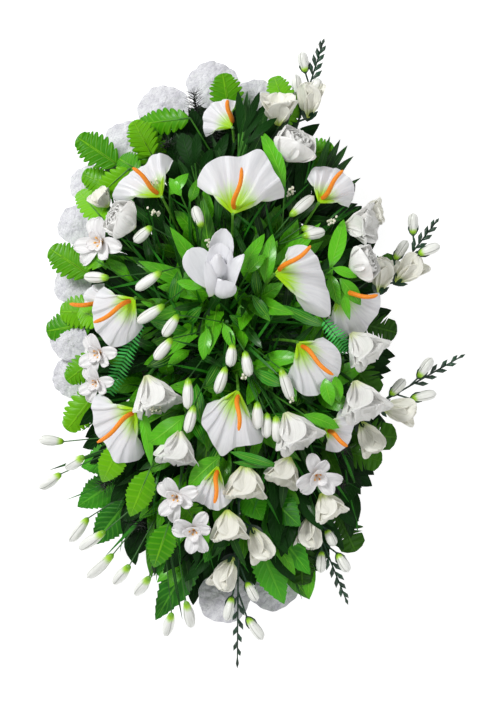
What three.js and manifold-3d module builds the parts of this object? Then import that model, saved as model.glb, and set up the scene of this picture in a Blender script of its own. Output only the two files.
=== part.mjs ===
// An oval arrangement of artificial flowers, lying on its back: +Z is the side that is looked at,
// +Y is the top of the oval, the origin is under the middle of it. Sizes are in millimetres.
import * as THREE from "three";
import { mergeVertices } from "three/addons/utils/BufferGeometryUtils.js";
import Module from "manifold-3d";

const wasm = await Module();
wasm.setup();

// Driving dimensions
const MOUND = { x: -25, y: 5, halfWidth: 238, halfLength: 400, rim: 52, top: 182 };
const BOARD = { halfWidth: 140, halfLength: 235, thickness: 10 };
const FOAM = { x: -30, y: 15, z: 10.4, halfWidth: 98, halfLength: 190, height: 78 };
const GAP = 0.35; // clearance between separate pieces
const LEAF = 1; // thickness of a leaf
const PETAL = 1.1; // thickness of a petal
const STEM = 2.2; // radius of a wired stem
const STEM_SIDES = 3;
const ROOT_DEPTH = 0.7; // how far out in the foam a stem ends, as a share of the foam's size
const DEGREE = Math.PI / 180;

const paint = (color, roughness) => new THREE.MeshStandardMaterial({ color, roughness, metalness: 0 });
const PAINT = {
  board: paint(0x2b2a26, 0.8),
  foam: paint(0x1f4a1e, 0.9),
  fir: paint(0x12140f, 0.6),
  carnation: paint(0xdcdbe2, 0.8),
  spathe: paint(0xf1f2ee, 0.35),
  spadix: paint(0xf0801c, 0.5),
  satin: paint(0xeeeef2, 0.4),
  cream: paint(0xf2f2e2, 0.5),
  fern: paint(0x4c9a12, 0.5),
  leaf: paint(0x1e5a14, 0.4),
  emerald: paint(0x149a3c, 0.5),
};

const at = (x, y, z) => new THREE.Vector3(x, y, z);

// Height of the mound's surface over a place on the floor.
function moundHeight(x, y) {
  const out = Math.hypot((x - MOUND.x) / MOUND.halfWidth, (y - MOUND.y) / MOUND.halfLength);
  return MOUND.rim + (MOUND.top - MOUND.rim) * Math.sqrt(Math.max(0, 1 - out * out));
}

// Solids and how they are joined

function solid(geometry, nearest = 1e-4) {
  const bare = geometry.clone();
  bare.deleteAttribute("normal");
  bare.deleteAttribute("uv");
  const merged = mergeVertices(bare, nearest);
  const kept = [];
  const index = merged.index.array;
  for (let i = 0; i < index.length; i += 3) {
    const [a, b, c] = [index[i], index[i + 1], index[i + 2]];
    if (a !== b && b !== c && c !== a) kept.push(a, b, c);
  }
  const build = (triVerts) =>
    new wasm.Manifold(
      new wasm.Mesh({
        numProp: 3,
        vertProperties: new Float32Array(merged.attributes.position.array),
        triVerts: new Uint32Array(triVerts),
      }),
    );
  const made = build(kept);
  if (made.volume() > 0) return made;
  for (let i = 0; i < kept.length; i += 3) [kept[i + 1], kept[i + 2]] = [kept[i + 2], kept[i + 1]];
  return build(kept);
}

const fuse = (solids) => solids.reduce((all, next) => all.add(next));

// The largest body of a solid: loose scraps go, and a sealed hollow is filled.
function oneBody(made) {
  return made.decompose().reduce((best, next) => (next.volume() > best.volume() ? next : best));
}

function geometryOf(made) {
  const mesh = made.getMesh();
  const geometry = new THREE.BufferGeometry();
  geometry.setAttribute("position", new THREE.BufferAttribute(new Float32Array(mesh.vertProperties), 3));
  geometry.setIndex(new THREE.BufferAttribute(new Uint32Array(mesh.triVerts), 1));
  return geometry;
}

// Whether each edge of a body has just two faces.
function edgesInPairs(made) {
  const { index } = mergeVertices(geometryOf(made), 1e-3);
  const faces = new Map();
  for (let i = 0; i < index.count; i++) {
    const [a, b] = [index.getX(i), index.getX(i % 3 === 2 ? i - 2 : i + 1)];
    const edge = `${Math.min(a, b)} ${Math.max(a, b)}`;
    faces.set(edge, (faces.get(edge) ?? 0) + 1);
  }
  return [...faces.values()].every((count) => count === 2);
}

// The same body with corners that all but meet drawn together, where that leaves it whole.
function tidied(made) {
  for (const nearest of [0.03, 0.02, 0.01, 0.005]) {
    try {
      const next = oneBody(solid(geometryOf(made), nearest));
      if (Math.abs(next.volume() / made.volume() - 1) < 1e-3 && edgesInPairs(next)) return next;
    } catch {
      continue;
    }
  }
  return made;
}

// Where each node's solids stand, so that later ones keep clear of them.
const nodes = new Map();

function addTo(name, material, made) {
  if (!nodes.has(name)) nodes.set(name, { material, solids: [] });
  const box = made.boundingBox();
  nodes.get(name).solids.push({ made, box });
}

function boxesApart(a, b) {
  return [0, 1, 2].some((k) => a.min[k] - b.max[k] > GAP || b.min[k] - a.max[k] > GAP);
}

// Whether a solid stands clear of the other nodes. A choosy one is also clear of its own node past the stem.
function isClear(name, made, choosy = false) {
  const box = made.boundingBox();
  for (const [other, { solids }] of nodes) {
    if (other === name && !choosy) continue;
    for (const there of other === name ? solids.slice(1) : solids) {
      if (boxesApart(box, there.box)) continue;
      if (made.minGap(there.made, 2 * GAP) < GAP) return false;
    }
  }
  return true;
}

// A leaf that would cross its neighbours is lifted or turned a little, the smallest change first.
const SWINGS = [];
for (const lift of [0, 7, -7, 14, -14, 24, -24, 36, -36, 50]) {
  for (const turn of [0, 7, -7, 14, -14, 24, -24]) SWINGS.push({ lift, turn });
}
SWINGS.sort((a, b) => Math.abs(a.lift) + Math.abs(a.turn) - Math.abs(b.lift) - Math.abs(b.turn));

function settle(name, material, make) {
  for (const size of [1, 0.8, 0.6]) {
    for (const choosy of [true, false]) {
      for (const swing of SWINGS) {
        const made = make(swing, size);
        if (!isClear(name, made, choosy)) continue;
        addTo(name, material, made);
        return;
      }
    }
  }
}

// Shapes

// A closed sheet of even thickness on surface(u, v), u from 0 to 1 and v from -1 to 1,
// split into triangles alike on both faces.
function sheet(surface, alongSteps, acrossSteps, thickness) {
  const columns = acrossSteps + 1;
  const rows = alongSteps + 1;
  const sideCount = rows * columns;
  const small = 1e-3;
  const positions = [];
  for (const side of [0.5, -0.5]) {
    for (let i = 0; i < rows; i++) {
      for (let j = 0; j < columns; j++) {
        const u = i / alongSteps;
        const v = (2 * j) / acrossSteps - 1;
        const along = surface(Math.min(1, u + small), v).sub(surface(Math.max(0, u - small), v));
        const across = surface(u, Math.min(1, v + small)).sub(surface(u, Math.max(-1, v - small)));
        const normal = along.cross(across).normalize();
        const point = surface(u, v).addScaledVector(normal, side * thickness);
        positions.push(point.x, point.y, point.z);
      }
    }
  }
  const index = [];
  const quad = (a, b, c, d) => index.push(a, b, c, a, c, d);
  const top = (i, j) => i * columns + j;
  const under = (i, j) => sideCount + top(i, j);
  for (let i = 0; i < alongSteps; i++) {
    for (let j = 0; j < acrossSteps; j++) {
      const corners = [[i, j], [i + 1, j], [i + 1, j + 1], [i, j + 1]];
      const [a, b, c, d] = corners.map(([r, s]) => top(r, s));
      const [e, f, g, h] = corners.map(([r, s]) => under(r, s));
      index.push(a, b, c, a, c, d);
      index.push(e, g, f, e, h, g);
    }
    quad(under(i, 0), under(i + 1, 0), top(i + 1, 0), top(i, 0));
    quad(top(i, acrossSteps), top(i + 1, acrossSteps), under(i + 1, acrossSteps), under(i, acrossSteps));
  }
  for (let j = 0; j < acrossSteps; j++) {
    quad(top(0, j), top(0, j + 1), under(0, j + 1), under(0, j));
    quad(under(alongSteps, j), under(alongSteps, j + 1), top(alongSteps, j + 1), top(alongSteps, j));
  }
  const geometry = new THREE.BufferGeometry();
  geometry.setAttribute("position", new THREE.Float32BufferAttribute(positions, 3));
  geometry.setIndex(index);
  return geometry;
}

// A frame whose X runs from one point to another and whose Z looks up as far as it can.
function frameAlong(from, to, roll = 0, up = at(0, 0, 1)) {
  const x = to.clone().sub(from).normalize();
  const y = up.clone().cross(x).normalize();
  const z = x.clone().cross(y);
  const frame = new THREE.Matrix4().makeBasis(x, y, z).setPosition(from);
  return frame.multiply(new THREE.Matrix4().makeRotationX(roll * DEGREE));
}

const placed = (geometry, frame) => geometry.applyMatrix4(frame);
const moved = (made, frame) => made.transform(frame.elements);

function tube(points, radius, sides = STEM_SIDES, stepsPerSpan = 2) {
  const section = new THREE.Shape();
  for (let k = 0; k < sides; k++) {
    const turn = (2 * Math.PI * k) / sides;
    const corner = [radius * Math.cos(turn), radius * Math.sin(turn)];
    if (k) section.lineTo(...corner);
    else section.moveTo(...corner);
  }
  const extrudePath = new THREE.CatmullRomCurve3(points);
  const steps = stepsPerSpan * (points.length - 1);
  return new THREE.ExtrudeGeometry(section, { steps, extrudePath, bevelEnabled: false });
}

// A solid turned round its own X axis: stations are [along, radius], the first and last on the axis.
function turned(stations, sides) {
  const profile = stations.map(([along, radius]) => new THREE.Vector2(radius, along));
  return new THREE.LatheGeometry(profile, sides).rotateZ(-Math.PI / 2);
}

const bulb = (length, radius, sides = 4) =>
  turned([[0, 0], [0.2 * length, 0.72 * radius], [0.68 * length, 0.96 * radius], [length, 0]], sides);

// A bud on its stem in one skin: stations are [point, radius], and it closes to a point at the last one.
function budOnStem(stations, sides = 4) {
  const positions = [];
  const rings = stations.slice(0, -1);
  rings.forEach(([point, radius], k) => {
    const before = stations[Math.max(0, k - 1)][0];
    const way = stations[k + 1][0].clone().sub(before);
    const frame = frameAlong(before, before.clone().add(way));
    for (let side = 0; side < sides; side++) {
      const turn = (2 * Math.PI * side) / sides;
      const offset = at(0, radius * Math.cos(turn), radius * Math.sin(turn)).applyMatrix4(frame).sub(before);
      positions.push(...point.clone().add(offset).toArray());
    }
  });
  positions.push(...stations.at(-1)[0].toArray());
  const tip = positions.length / 3 - 1;
  const index = [];
  for (let side = 0; side < sides; side++) {
    const next = (side + 1) % sides;
    for (let k = 0; k + 1 < rings.length; k++) {
      const [a, b] = [k * sides, (k + 1) * sides];
      index.push(a + side, a + next, b + next, a + side, b + next, b + side);
    }
    index.push(tip - sides + side, tip - sides + next, tip);
    if (side > 1) index.push(0, side, side - 1);
  }
  const geometry = new THREE.BufferGeometry();
  geometry.setAttribute("position", new THREE.Float32BufferAttribute(positions, 3));
  geometry.setIndex(index);
  return solid(geometry);
}

const budStations = (joint, stalk, start, tip, radius) => {
  const along = (share) => start.clone().lerp(tip, share);
  return [[joint, stalk], [start, stalk], [along(0.22), 0.78 * radius], [along(0.66), radius], [tip, 0]];
};

const spike = (length, radius) => turned([[0, 0], [0.3 * length, radius], [length, 0]], 3);

function bent(geometry, bend) {
  const position = geometry.getAttribute("position");
  const point = new THREE.Vector3();
  for (let k = 0; k < position.count; k++) {
    bend(point.fromBufferAttribute(position, k));
    position.setXYZ(k, point.x, point.y, point.z);
  }
  return geometry;
}

// The tip of a leaf that grows from one point to another, after its swing.
function swungTip(from, tip, { lift, turn }, size) {
  const reach = tip.clone().sub(from).multiplyScalar(size);
  reach.applyAxisAngle(at(0, 0, 1), turn * DEGREE);
  reach.z = Math.max(reach.z + lift, 6 - from.z);
  return reach.add(from);
}

// A plain pointed leaf: a narrow foot, widest before its middle, arched along its length.
function lanceLeaf(from, tip, width, arch) {
  const length = from.distanceTo(tip);
  const stations = [[0, 1.8], [0.3, 0.62 * width], [0.6, width], [1, 0.5]];
  const surface = (u, v) => {
    const place = u * (stations.length - 1);
    const k = Math.min(stations.length - 2, Math.floor(place));
    const [x, w] = [0, 1].map((n) => THREE.MathUtils.lerp(stations[k][n], stations[k + 1][n], place - k));
    return at(x * length, (v * w) / 2, 4 * arch * x * (1 - x));
  };
  return placed(sheet(surface, stations.length - 1, 1, LEAF), frameAlong(from, tip));
}

// A frond: a stalk and a rib with lobes cut towards it, one outline with an arch.
function frond({ length, stalk, width, lobes, cut, lean = 0.45, taper = 0.4, arch, droop = 0 }) {
  const edge = [];
  const leafy = length - stalk;
  for (let k = 0; k < lobes; k++) {
    const share = (k + 0.5) / lobes;
    const half = 0.5 * width * (taper + (1 - taper) * Math.sin(Math.PI * Math.pow(1 - share, 0.75) * 0.95));
    edge.push([stalk + (leafy * k) / lobes, Math.max(1.4, half * cut)]);
    edge.push([stalk + (leafy * (k + lean)) / lobes, half]);
  }
  const shape = new THREE.Shape();
  shape.moveTo(0, -1.5);
  edge.forEach(([x, y]) => shape.lineTo(x, -y));
  shape.lineTo(length, 0);
  edge.reverse().forEach(([x, y]) => shape.lineTo(x, y));
  shape.lineTo(0, 1.5);
  const flat = new THREE.ExtrudeGeometry(shape, { depth: LEAF, steps: 1, bevelEnabled: false });
  return bent(flat, (p) => {
    const u = p.x / length;
    p.z += 4 * arch * u * (1 - u) - droop * u * u - (p.y * p.y) / (2.2 * width);
  });
}

// The line of a petal from its foot: it rises at one angle at its foot and at another at its tip.
function petalLine(u, length, foot, height, rise) {
  const start = rise[0] * DEGREE;
  const bend = (rise[1] - rise[0]) * DEGREE || 1e-6;
  const tilt = start + bend * u;
  const out = foot + (length * (Math.sin(tilt) - Math.sin(start))) / bend;
  const up = height - (length * (Math.cos(tilt) - Math.cos(start))) / bend;
  return { out, up, tilt };
}

// One petal in a bloom's own frame, Z along the bloom's axis: a narrow foot, cupped across.
function petal({ turn, length, width, foot = 4, height = 0, rise, cup = 0.25 }) {
  const widths = [0.12, 0.7, 1, 0.5];
  const surface = (u, v) => {
    const { out, up, tilt } = petalLine(u, length, foot, height, rise);
    const place = u * (widths.length - 1);
    const k = Math.min(widths.length - 2, Math.floor(place));
    const half = 0.5 * width * THREE.MathUtils.lerp(widths[k], widths[k + 1], place - k);
    const lift = cup * half * v * v;
    return at(out - lift * Math.sin(tilt), v * half, up + lift * Math.cos(tilt));
  };
  return sheet(surface, widths.length - 1, 2, PETAL).rotateZ(turn * DEGREE);
}

// A corolla stamped from one sheet: lobes all round one axis, closed at its foot.
function corolla({ lobes, length, rise, height = 0, notch = 0.3, rings = 2, wave = 0, turn = 0 }) {
  const perLobe = 2;
  const columns = lobes * perLobe;
  const point = (ring, k) => {
    const round = (2 * Math.PI * k) / columns;
    const dip = k % perLobe;
    const u = (ring / rings) * (1 - notch * dip * (ring / rings));
    const { out, up } = petalLine(u, length, 0, height, rise);
    return at(out * Math.cos(round), out * Math.sin(round), up + wave * u * Math.sin(2.4 * k));
  };
  const positions = [];
  const index = [];
  const sideCount = 1 + rings * columns;
  for (const side of [0.5, -0.5]) {
    const centre = point(0, 0);
    positions.push(0, 0, centre.z + side * PETAL * 1.6);
    for (let ring = 1; ring <= rings; ring++) {
      for (let k = 0; k < columns; k++) {
        const here = point(ring, k);
        const flat = Math.hypot(here.x, here.y);
        const { tilt } = petalLine(ring / rings, length, 0, height, rise);
        const inward = side * PETAL * Math.sin(tilt);
        const squeeze = (flat - inward) / flat;
        positions.push(here.x * squeeze, here.y * squeeze, here.z + side * PETAL * Math.cos(tilt));
      }
    }
  }
  const vertex = (ring, k) => (ring ? 1 + (ring - 1) * columns + (k % columns) : 0);
  for (let k = 0; k < columns; k++) {
    for (let ring = 0; ring < rings; ring++) {
      const [a, b] = [vertex(ring, k), vertex(ring + 1, k)];
      const [d, c] = [vertex(ring, k + 1), vertex(ring + 1, k + 1)];
      index.push(a, b, c, sideCount + a, sideCount + c, sideCount + b);
      if (ring) index.push(a, c, d, sideCount + a, sideCount + d, sideCount + c);
    }
    const [e, f] = [vertex(rings, k), vertex(rings, k + 1)];
    index.push(e, sideCount + e, sideCount + f, e, sideCount + f, f);
  }
  const geometry = new THREE.BufferGeometry();
  geometry.setAttribute("position", new THREE.Float32BufferAttribute(positions, 3));
  geometry.setIndex(index);
  return geometry.rotateZ(turn * DEGREE);
}

// Where a stem ends in the foam, under the head that it carries.
function rootUnder(head, depth = ROOT_DEPTH) {
  const centre = at(FOAM.x, FOAM.y, FOAM.z + 12);
  const out = head.clone().sub(centre);
  const level = Math.hypot(out.x / FOAM.halfWidth, out.y / FOAM.halfLength, out.z / FOAM.height);
  const root = centre.addScaledVector(out, depth / level);
  root.z = Math.max(root.z, FOAM.z + 20);
  return root;
}

// The places of all stems in the foam, for the holes that they stand in.
const holes = [];

function stemRoute(root, head, axis) {
  const knee = head.clone().addScaledVector(axis, -0.4 * root.distanceTo(head));
  return new THREE.QuadraticBezierCurve3(root, knee, head).getSpacedPoints(2);
}

function stemAlong(route, radius) {
  holes.push({ route, radius });
  return solid(tube(route, radius, STEM_SIDES, 1));
}

const stemBetween = (root, head, axis, radius = STEM) => stemAlong(stemRoute(root, head, axis), radius);

// A bloom's frame: Z is where it faces, X is the way its tip points.
function bloomFrame(place, aim, slope) {
  const way = at(Math.cos(aim * DEGREE), Math.sin(aim * DEGREE), 0);
  const x = way.clone().multiplyScalar(Math.cos(slope * DEGREE)).setZ(-Math.sin(slope * DEGREE));
  const y = at(-way.y, way.x, 0);
  return new THREE.Matrix4().makeBasis(x, y, x.clone().cross(y)).setPosition(place);
}

const zAxisOf = (frame) => new THREE.Vector3().setFromMatrixColumn(frame, 2);

// Leaves in the order in which they leave a stem: the one nearest to its line first, at its top.
function steepestFirst(from, root, leaves) {
  const line = from.clone().sub(root);
  const spread = (leaf) => leaf.tip.clone().sub(from).angleTo(line);
  return leaves.sort((a, b) => spread(a) - spread(b));
}

// Backing board and foam pad

function backingBoard() {
  const outline = new THREE.Shape();
  outline.absellipse(0, 0, BOARD.halfWidth, BOARD.halfLength, 0, 2 * Math.PI, false, 0);
  const geometry = new THREE.ExtrudeGeometry(outline, { depth: BOARD.thickness, steps: 1, curveSegments: 9,
    bevelEnabled: false });
  return solid(geometry.translate(FOAM.x, FOAM.y, 0));
}

function foamPad() {
  const profile = [new THREE.Vector2(0, 0)];
  const rings = 3;
  for (let k = 0; k <= rings; k++) {
    const turn = (Math.PI / 2) * (k / rings);
    profile.push(new THREE.Vector2(k === rings ? 0 : Math.cos(turn), Math.sin(turn)));
  }
  const dome = new THREE.LatheGeometry(profile, 16).rotateX(Math.PI / 2);
  dome.scale(FOAM.halfWidth, FOAM.halfLength, FOAM.height).translate(FOAM.x, FOAM.y, FOAM.z);
  return solid(dome);
}

function pierced(foam) {
  return holes.reduce((left, { route, radius }) => {
    const back = route[0].clone().sub(route[1]).normalize();
    const deeper = [route[0].clone().addScaledVector(back, 2), ...route.slice(1)];
    return left.subtract(solid(tube(deeper, radius + 2 * GAP, STEM_SIDES, 1)));
  }, foam);
}

// Dense heads in one skin, in layers from under the rim to the middle

// Rings as shares of the head's radius: out, up, and how far the ring is crimped.
const CARNATION = {
  folds: 9,
  rings: [
    { out: 0.3, up: -0.08, crimp: 0 },
    { out: 1, up: 0.2, crimp: 0.075 },
    { out: 0.62, up: 0.3, crimp: 0.02 },
    { out: 0.76, up: 0.56, crimp: 0.085 },
    { out: 0.34, up: 0.6, crimp: 0.02 },
    { out: 0.42, up: 0.84, crimp: 0.06 },
  ],
  middle: 0.62,
};
const ROSE = {
  folds: 9,
  rings: [
    { out: 0.2, up: -0.06, crimp: 0 },
    { out: 0.66, up: 0.2, crimp: 0.02 },
    { out: 1, up: 0.62, crimp: 0.08 },
    { out: 0.6, up: 0.46, crimp: 0.02 },
    { out: 0.56, up: 0.94, crimp: 0.07 },
    { out: 0.26, up: 0.7, crimp: 0.02 },
  ],
  middle: 1.1,
};

function layeredHead({ folds, rings, middle }, radius) {
  const positions = [0, 0, -0.2 * radius];
  rings.forEach(({ out, up, crimp }, ring) => {
    for (let k = 0; k < folds; k++) {
      const turn = (2 * Math.PI * (k + (ring > 2 ? 0.5 : 0))) / folds;
      const reach = radius * out * (1 + 0.8 * crimp * Math.cos(2.6 * k + ring));
      const height = radius * (up + crimp * Math.sin(2.2 * k + ring));
      positions.push(reach * Math.cos(turn), reach * Math.sin(turn), height);
    }
  });
  positions.push(0, 0, radius * middle);
  const last = positions.length / 3 - 1;
  const vertex = (ring, k) => 1 + ring * folds + (k % folds);
  const index = [];
  for (let k = 0; k < folds; k++) {
    index.push(0, vertex(0, k + 1), vertex(0, k));
    for (let ring = 0; ring + 1 < rings.length; ring++) {
      const [a, b] = [vertex(ring, k), vertex(ring, k + 1)];
      const [d, c] = [vertex(ring + 1, k), vertex(ring + 1, k + 1)];
      index.push(a, b, c, a, c, d);
    }
    index.push(vertex(rings.length - 1, k), vertex(rings.length - 1, k + 1), last);
  }
  const geometry = new THREE.BufferGeometry();
  geometry.setAttribute("position", new THREE.Float32BufferAttribute(positions, 3));
  geometry.setIndex(index);
  return geometry;
}

// Carnations: crimped heads on a short stem

// name, and each head's place, radius, height, and how far it leans out
const CARNATIONS = {
  carnations_top: [[-54, 369, 34, 42, 24], [5, 345, 31, 58, 18]],
  carnations_upper_left: [[-121, 336, 34, 46, 26], [-174, 292, 29, 40, 28]],
  carnations_left: [[-224, 234, 26, 42, 28], [-240, 178, 27, 34, 26]],
  carnations_lower_left: [[-246, 96, 27, 40, 28], [-251, 20, 27, 44, 26], [-249, -32, 26, 30, 24]],
  carnations_bottom: [[-38, -334, 34, 48, 24], [28, -316, 35, 36, 30]],
};

// The fork of a pick of carnations, as shares of the way out to its heads, and its wires
const CARNATION_FORK = { x: 0.62, y: 0.72, z: 34, stem: 3, branch: 2.4 };

function addCarnations() {
  for (const [name, heads] of Object.entries(CARNATIONS)) {
    const sum = heads.reduce((all, [x, y]) => all.add(at(x, y, 0)), at(0, 0, 0));
    const out = sum.divideScalar(heads.length).sub(at(MOUND.x, MOUND.y, 0));
    const { x: shareX, y: shareY, z: forkHeight } = CARNATION_FORK;
    const fork = at(MOUND.x + shareX * out.x, MOUND.y + shareY * out.y, forkHeight);
    const root = rootUnder(fork);
    const parts = [stemBetween(root, fork, out.normalize(), CARNATION_FORK.stem)];
    for (const [x, y, radius, z, lean] of heads) {
      const aim = Math.atan2(y - MOUND.y, x - MOUND.x) / DEGREE;
      const frame = bloomFrame(at(x, y, z), aim, lean);
      parts.push(moved(solid(layeredHead(CARNATION, radius)), frame));
      parts.push(solid(tube([fork, at(x, y, z)], CARNATION_FORK.branch, STEM_SIDES, 1)));
    }
    addTo(name, PAINT.carnation, oneBody(fuse(parts)));
  }
}

// Anthuriums: a pleated heart-shaped spathe, its spadix and its stem

const SPATHE_FOOT = 3.6;

// The spathe as a pleated fan round its foot, X to its tip. Its outer lobes curl down behind it.
function spatheSheet({ length, spread, skew = 0 }) {
  const folds = length > 70 ? 5 : length > 56 ? 4 : 3;
  const [pleat, dish, curled] = [2.4, 0.1, 1.2];
  const surface = (u, v) => {
    const turn = v * spread * DEGREE;
    const fold = Math.cos(folds * Math.PI * (v + 1));
    const heart = (0.5 + 0.5 * Math.pow(Math.cos(turn * 0.62), 2)) * (1 + 0.05 * fold) * (1 + skew * v);
    const reach = (SPATHE_FOOT + u * (length - SPATHE_FOOT)) * heart;
    const curl = curled * Math.max(0, Math.abs(v) - 0.72) * reach * u;
    const up = dish * reach * Math.abs(Math.sin(turn)) + pleat * u * fold - curl;
    return at(reach * Math.cos(turn), reach * Math.sin(turn), up - 0.0016 * reach * reach * u);
  };
  return sheet(surface, 2, 2 * folds, PETAL);
}

// The spadix: a tapered rod that rises out of the foot and leans towards the spathe's tip.
function spadixRod(length, aim, foot) {
  const rod = turned([[0, 0], [0, 3.8], [0.3 * length, 4.3], [0.65 * length, 3.6], [0.95 * length, 2.6],
    [length, 0]], 5);
  const steepest = 78 * DEGREE;
  const flattest = 14 * DEGREE;
  const bend = (flattest - steepest) / length;
  return bent(rod, (p) => {
    const tilt = steepest + bend * p.x;
    const out = (Math.sin(tilt) - Math.sin(steepest)) / bend - p.z * Math.sin(tilt);
    const up = -(Math.cos(tilt) - Math.cos(steepest)) / bend + p.z * Math.cos(tilt);
    p.set(out, p.y, up + foot);
  }).rotateZ(aim * DEGREE);
}

// number, place, height over the mound, then the spathe's aim, length, spread to each side and slope,
// the spadix rod's aim and length, and how much longer one side of the spathe is than its middle
const ANTHURIUMS = {
  1: { x: -26, y: 188, lift: 34, aim: 80, length: 92, spread: 60, slope: 4, rod: 79, rodLength: 76 },
  2: { x: 30, y: 107, lift: 38, aim: 6, length: 80, spread: 52, slope: 10, rod: 42, rodLength: 70,
    skew: -0.35 },
  3: { x: 90, y: 204, lift: 22, aim: 54, length: 58, spread: 54, slope: 16, rod: 53, rodLength: 56 },
  4: { x: 61, y: 16, lift: 22, aim: -48, length: 78, spread: 54, slope: 12, rod: -42, rodLength: 72 },
  5: { x: -19, y: -48, lift: 26, aim: -108, length: 92, spread: 45, slope: 8, rod: -87, rodLength: 62 },
  6: { x: -158, y: 75, lift: 24, aim: -138, length: 80, spread: 54, slope: 20, rod: -152, rodLength: 66,
    skew: 0.05 },
  7: { x: -155, y: -75, lift: 22, aim: -142, length: 80, spread: 54, slope: 16, rod: -140, rodLength: 74 },
  8: { x: -122, y: 212, lift: 20, aim: 130, length: 74, spread: 52, slope: 14, rod: 136, rodLength: 58,
    skew: 0.1 },
  9: { x: 117, y: 82, lift: 2, aim: -58, length: 70, spread: 52, slope: 18, rod: 8, rodLength: 58 },
  10: { x: 98, y: -98, lift: 8, aim: -20, length: 44, spread: 60, slope: 16, rod: -45, rodLength: 40 },
  11: { x: -46, y: -150, lift: 16, aim: -104, length: 64, spread: 32, slope: 12, rod: -94, rodLength: 54 },
  12: { x: -27, y: 307, lift: 2, aim: 140, length: 48, spread: 52, slope: 20, rod: 92, rodLength: 36 },
  13: { x: -192, y: 66, lift: -12, aim: 170, length: 44, spread: 52, slope: 24, rod: 180, rodLength: 54 },
};
const COLLAR = { radius: 5.4, top: 2.4, bottom: -4 };
const ROD_FOOT = { apart: COLLAR.top + 2 * GAP + 0.7, fused: -6 };
const SHARED_STEMS = { 13: "6" }; // the small spathe that grows against a large one
const SEPARATE_RODS = ["1", "2", "4", "5", "6", "7"]; // the large ones, whose spadix is a piece of its own

function addAnthuriums() {
  const routes = {};
  for (const [key, anthurium] of Object.entries(ANTHURIUMS)) {
    const { x, y, lift, aim, length, spread, slope, skew, rod, rodLength } = anthurium;
    const place = at(x, y, moundHeight(x, y) + lift);
    const frame = bloomFrame(place, aim, slope);
    const spathe = moved(solid(spatheSheet({ length, spread, skew })), frame);
    const node = `anthurium_${SHARED_STEMS[key] ?? key}`;
    const collar = new THREE.CylinderGeometry(COLLAR.radius, 3, COLLAR.top - COLLAR.bottom, 6);
    collar.rotateX(Math.PI / 2).translate(0, 0, (COLLAR.top + COLLAR.bottom) / 2);
    const foot = place.clone().addScaledVector(zAxisOf(frame), COLLAR.bottom + 1);
    const host = SHARED_STEMS[key];
    const route = host ? [routes[host][1], foot] : stemRoute(rootUnder(foot), foot, zAxisOf(frame));
    const stem = host ? solid(tube(route, STEM, STEM_SIDES, 1)) : stemAlong(route, STEM);
    routes[key] = route;
    const parts = [spathe, stem];
    const apart = SEPARATE_RODS.includes(key);
    if (apart) parts.push(moved(solid(collar), frame));
    const rodFoot = apart ? ROD_FOOT.apart : ROD_FOOT.fused;
    const spadix = moved(solid(spadixRod(rodLength, rod - aim, rodFoot)), frame);
    if (!apart) parts.push(spadix);
    addTo(node, PAINT.spathe, oneBody(fuse(parts)));
    if (apart) addTo(`spadix_${key}`, PAINT.spadix, spadix);
  }
}

// The white blooms: each kind is a list of petals round a core, and a bloom may share a stem with others

const magnolia = () => [
  petal({ turn: 168, length: 50, width: 46, rise: [40, 2], cup: 0.3 }),
  petal({ turn: 88, length: 58, width: 42, rise: [62, 22], cup: 0.3 }),
  petal({ turn: 8, length: 50, width: 32, rise: [56, 20], cup: 0.45 }),
  petal({ turn: -60, length: 42, width: 40, rise: [44, 66], cup: 0.4 }),
  petal({ turn: -124, length: 42, width: 40, rise: [44, 62], cup: 0.4 }),
  corolla({ lobes: 3, length: 40, rise: [58, 104], height: 7, notch: 0.2, turn: 20 }),
  bulb(24, 6, 4).rotateY(-90 * DEGREE).rotateZ(0.3).translate(0, 0, -6),
];

const rose = () => [layeredHead(ROSE, 27)];

const trumpet = () => [corolla({ lobes: 5, length: 46, rise: [74, 14], notch: 0.3, wave: 2 })];

const star = () => [corolla({ lobes: 6, length: 34, rise: [44, -6], notch: 0.46 }), ...stamens(3, 22)];

const bell = () => [corolla({ lobes: 4, length: 38, rise: [58, 66], notch: 0.24, rings: 1 })];

const stamens = (count, length) =>
  Array.from({ length: count }, (_, k) =>
    spike(length, 1.3).rotateY(-62 * DEGREE).rotateZ((360 * k * DEGREE) / count + 0.2));

const BLOOMS = { magnolia, rose, trumpet, star, bell };

function bloomHead(kind, size) {
  return fuse(BLOOMS[kind]().map((made) => solid(made))).scale(size);
}

// A bloom's frame from where it looks: lean is the angle between its axis and straight up.
const leaningFrame = (x, y, z, aim, lean) => bloomFrame(at(x, y, z), aim, lean);

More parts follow.
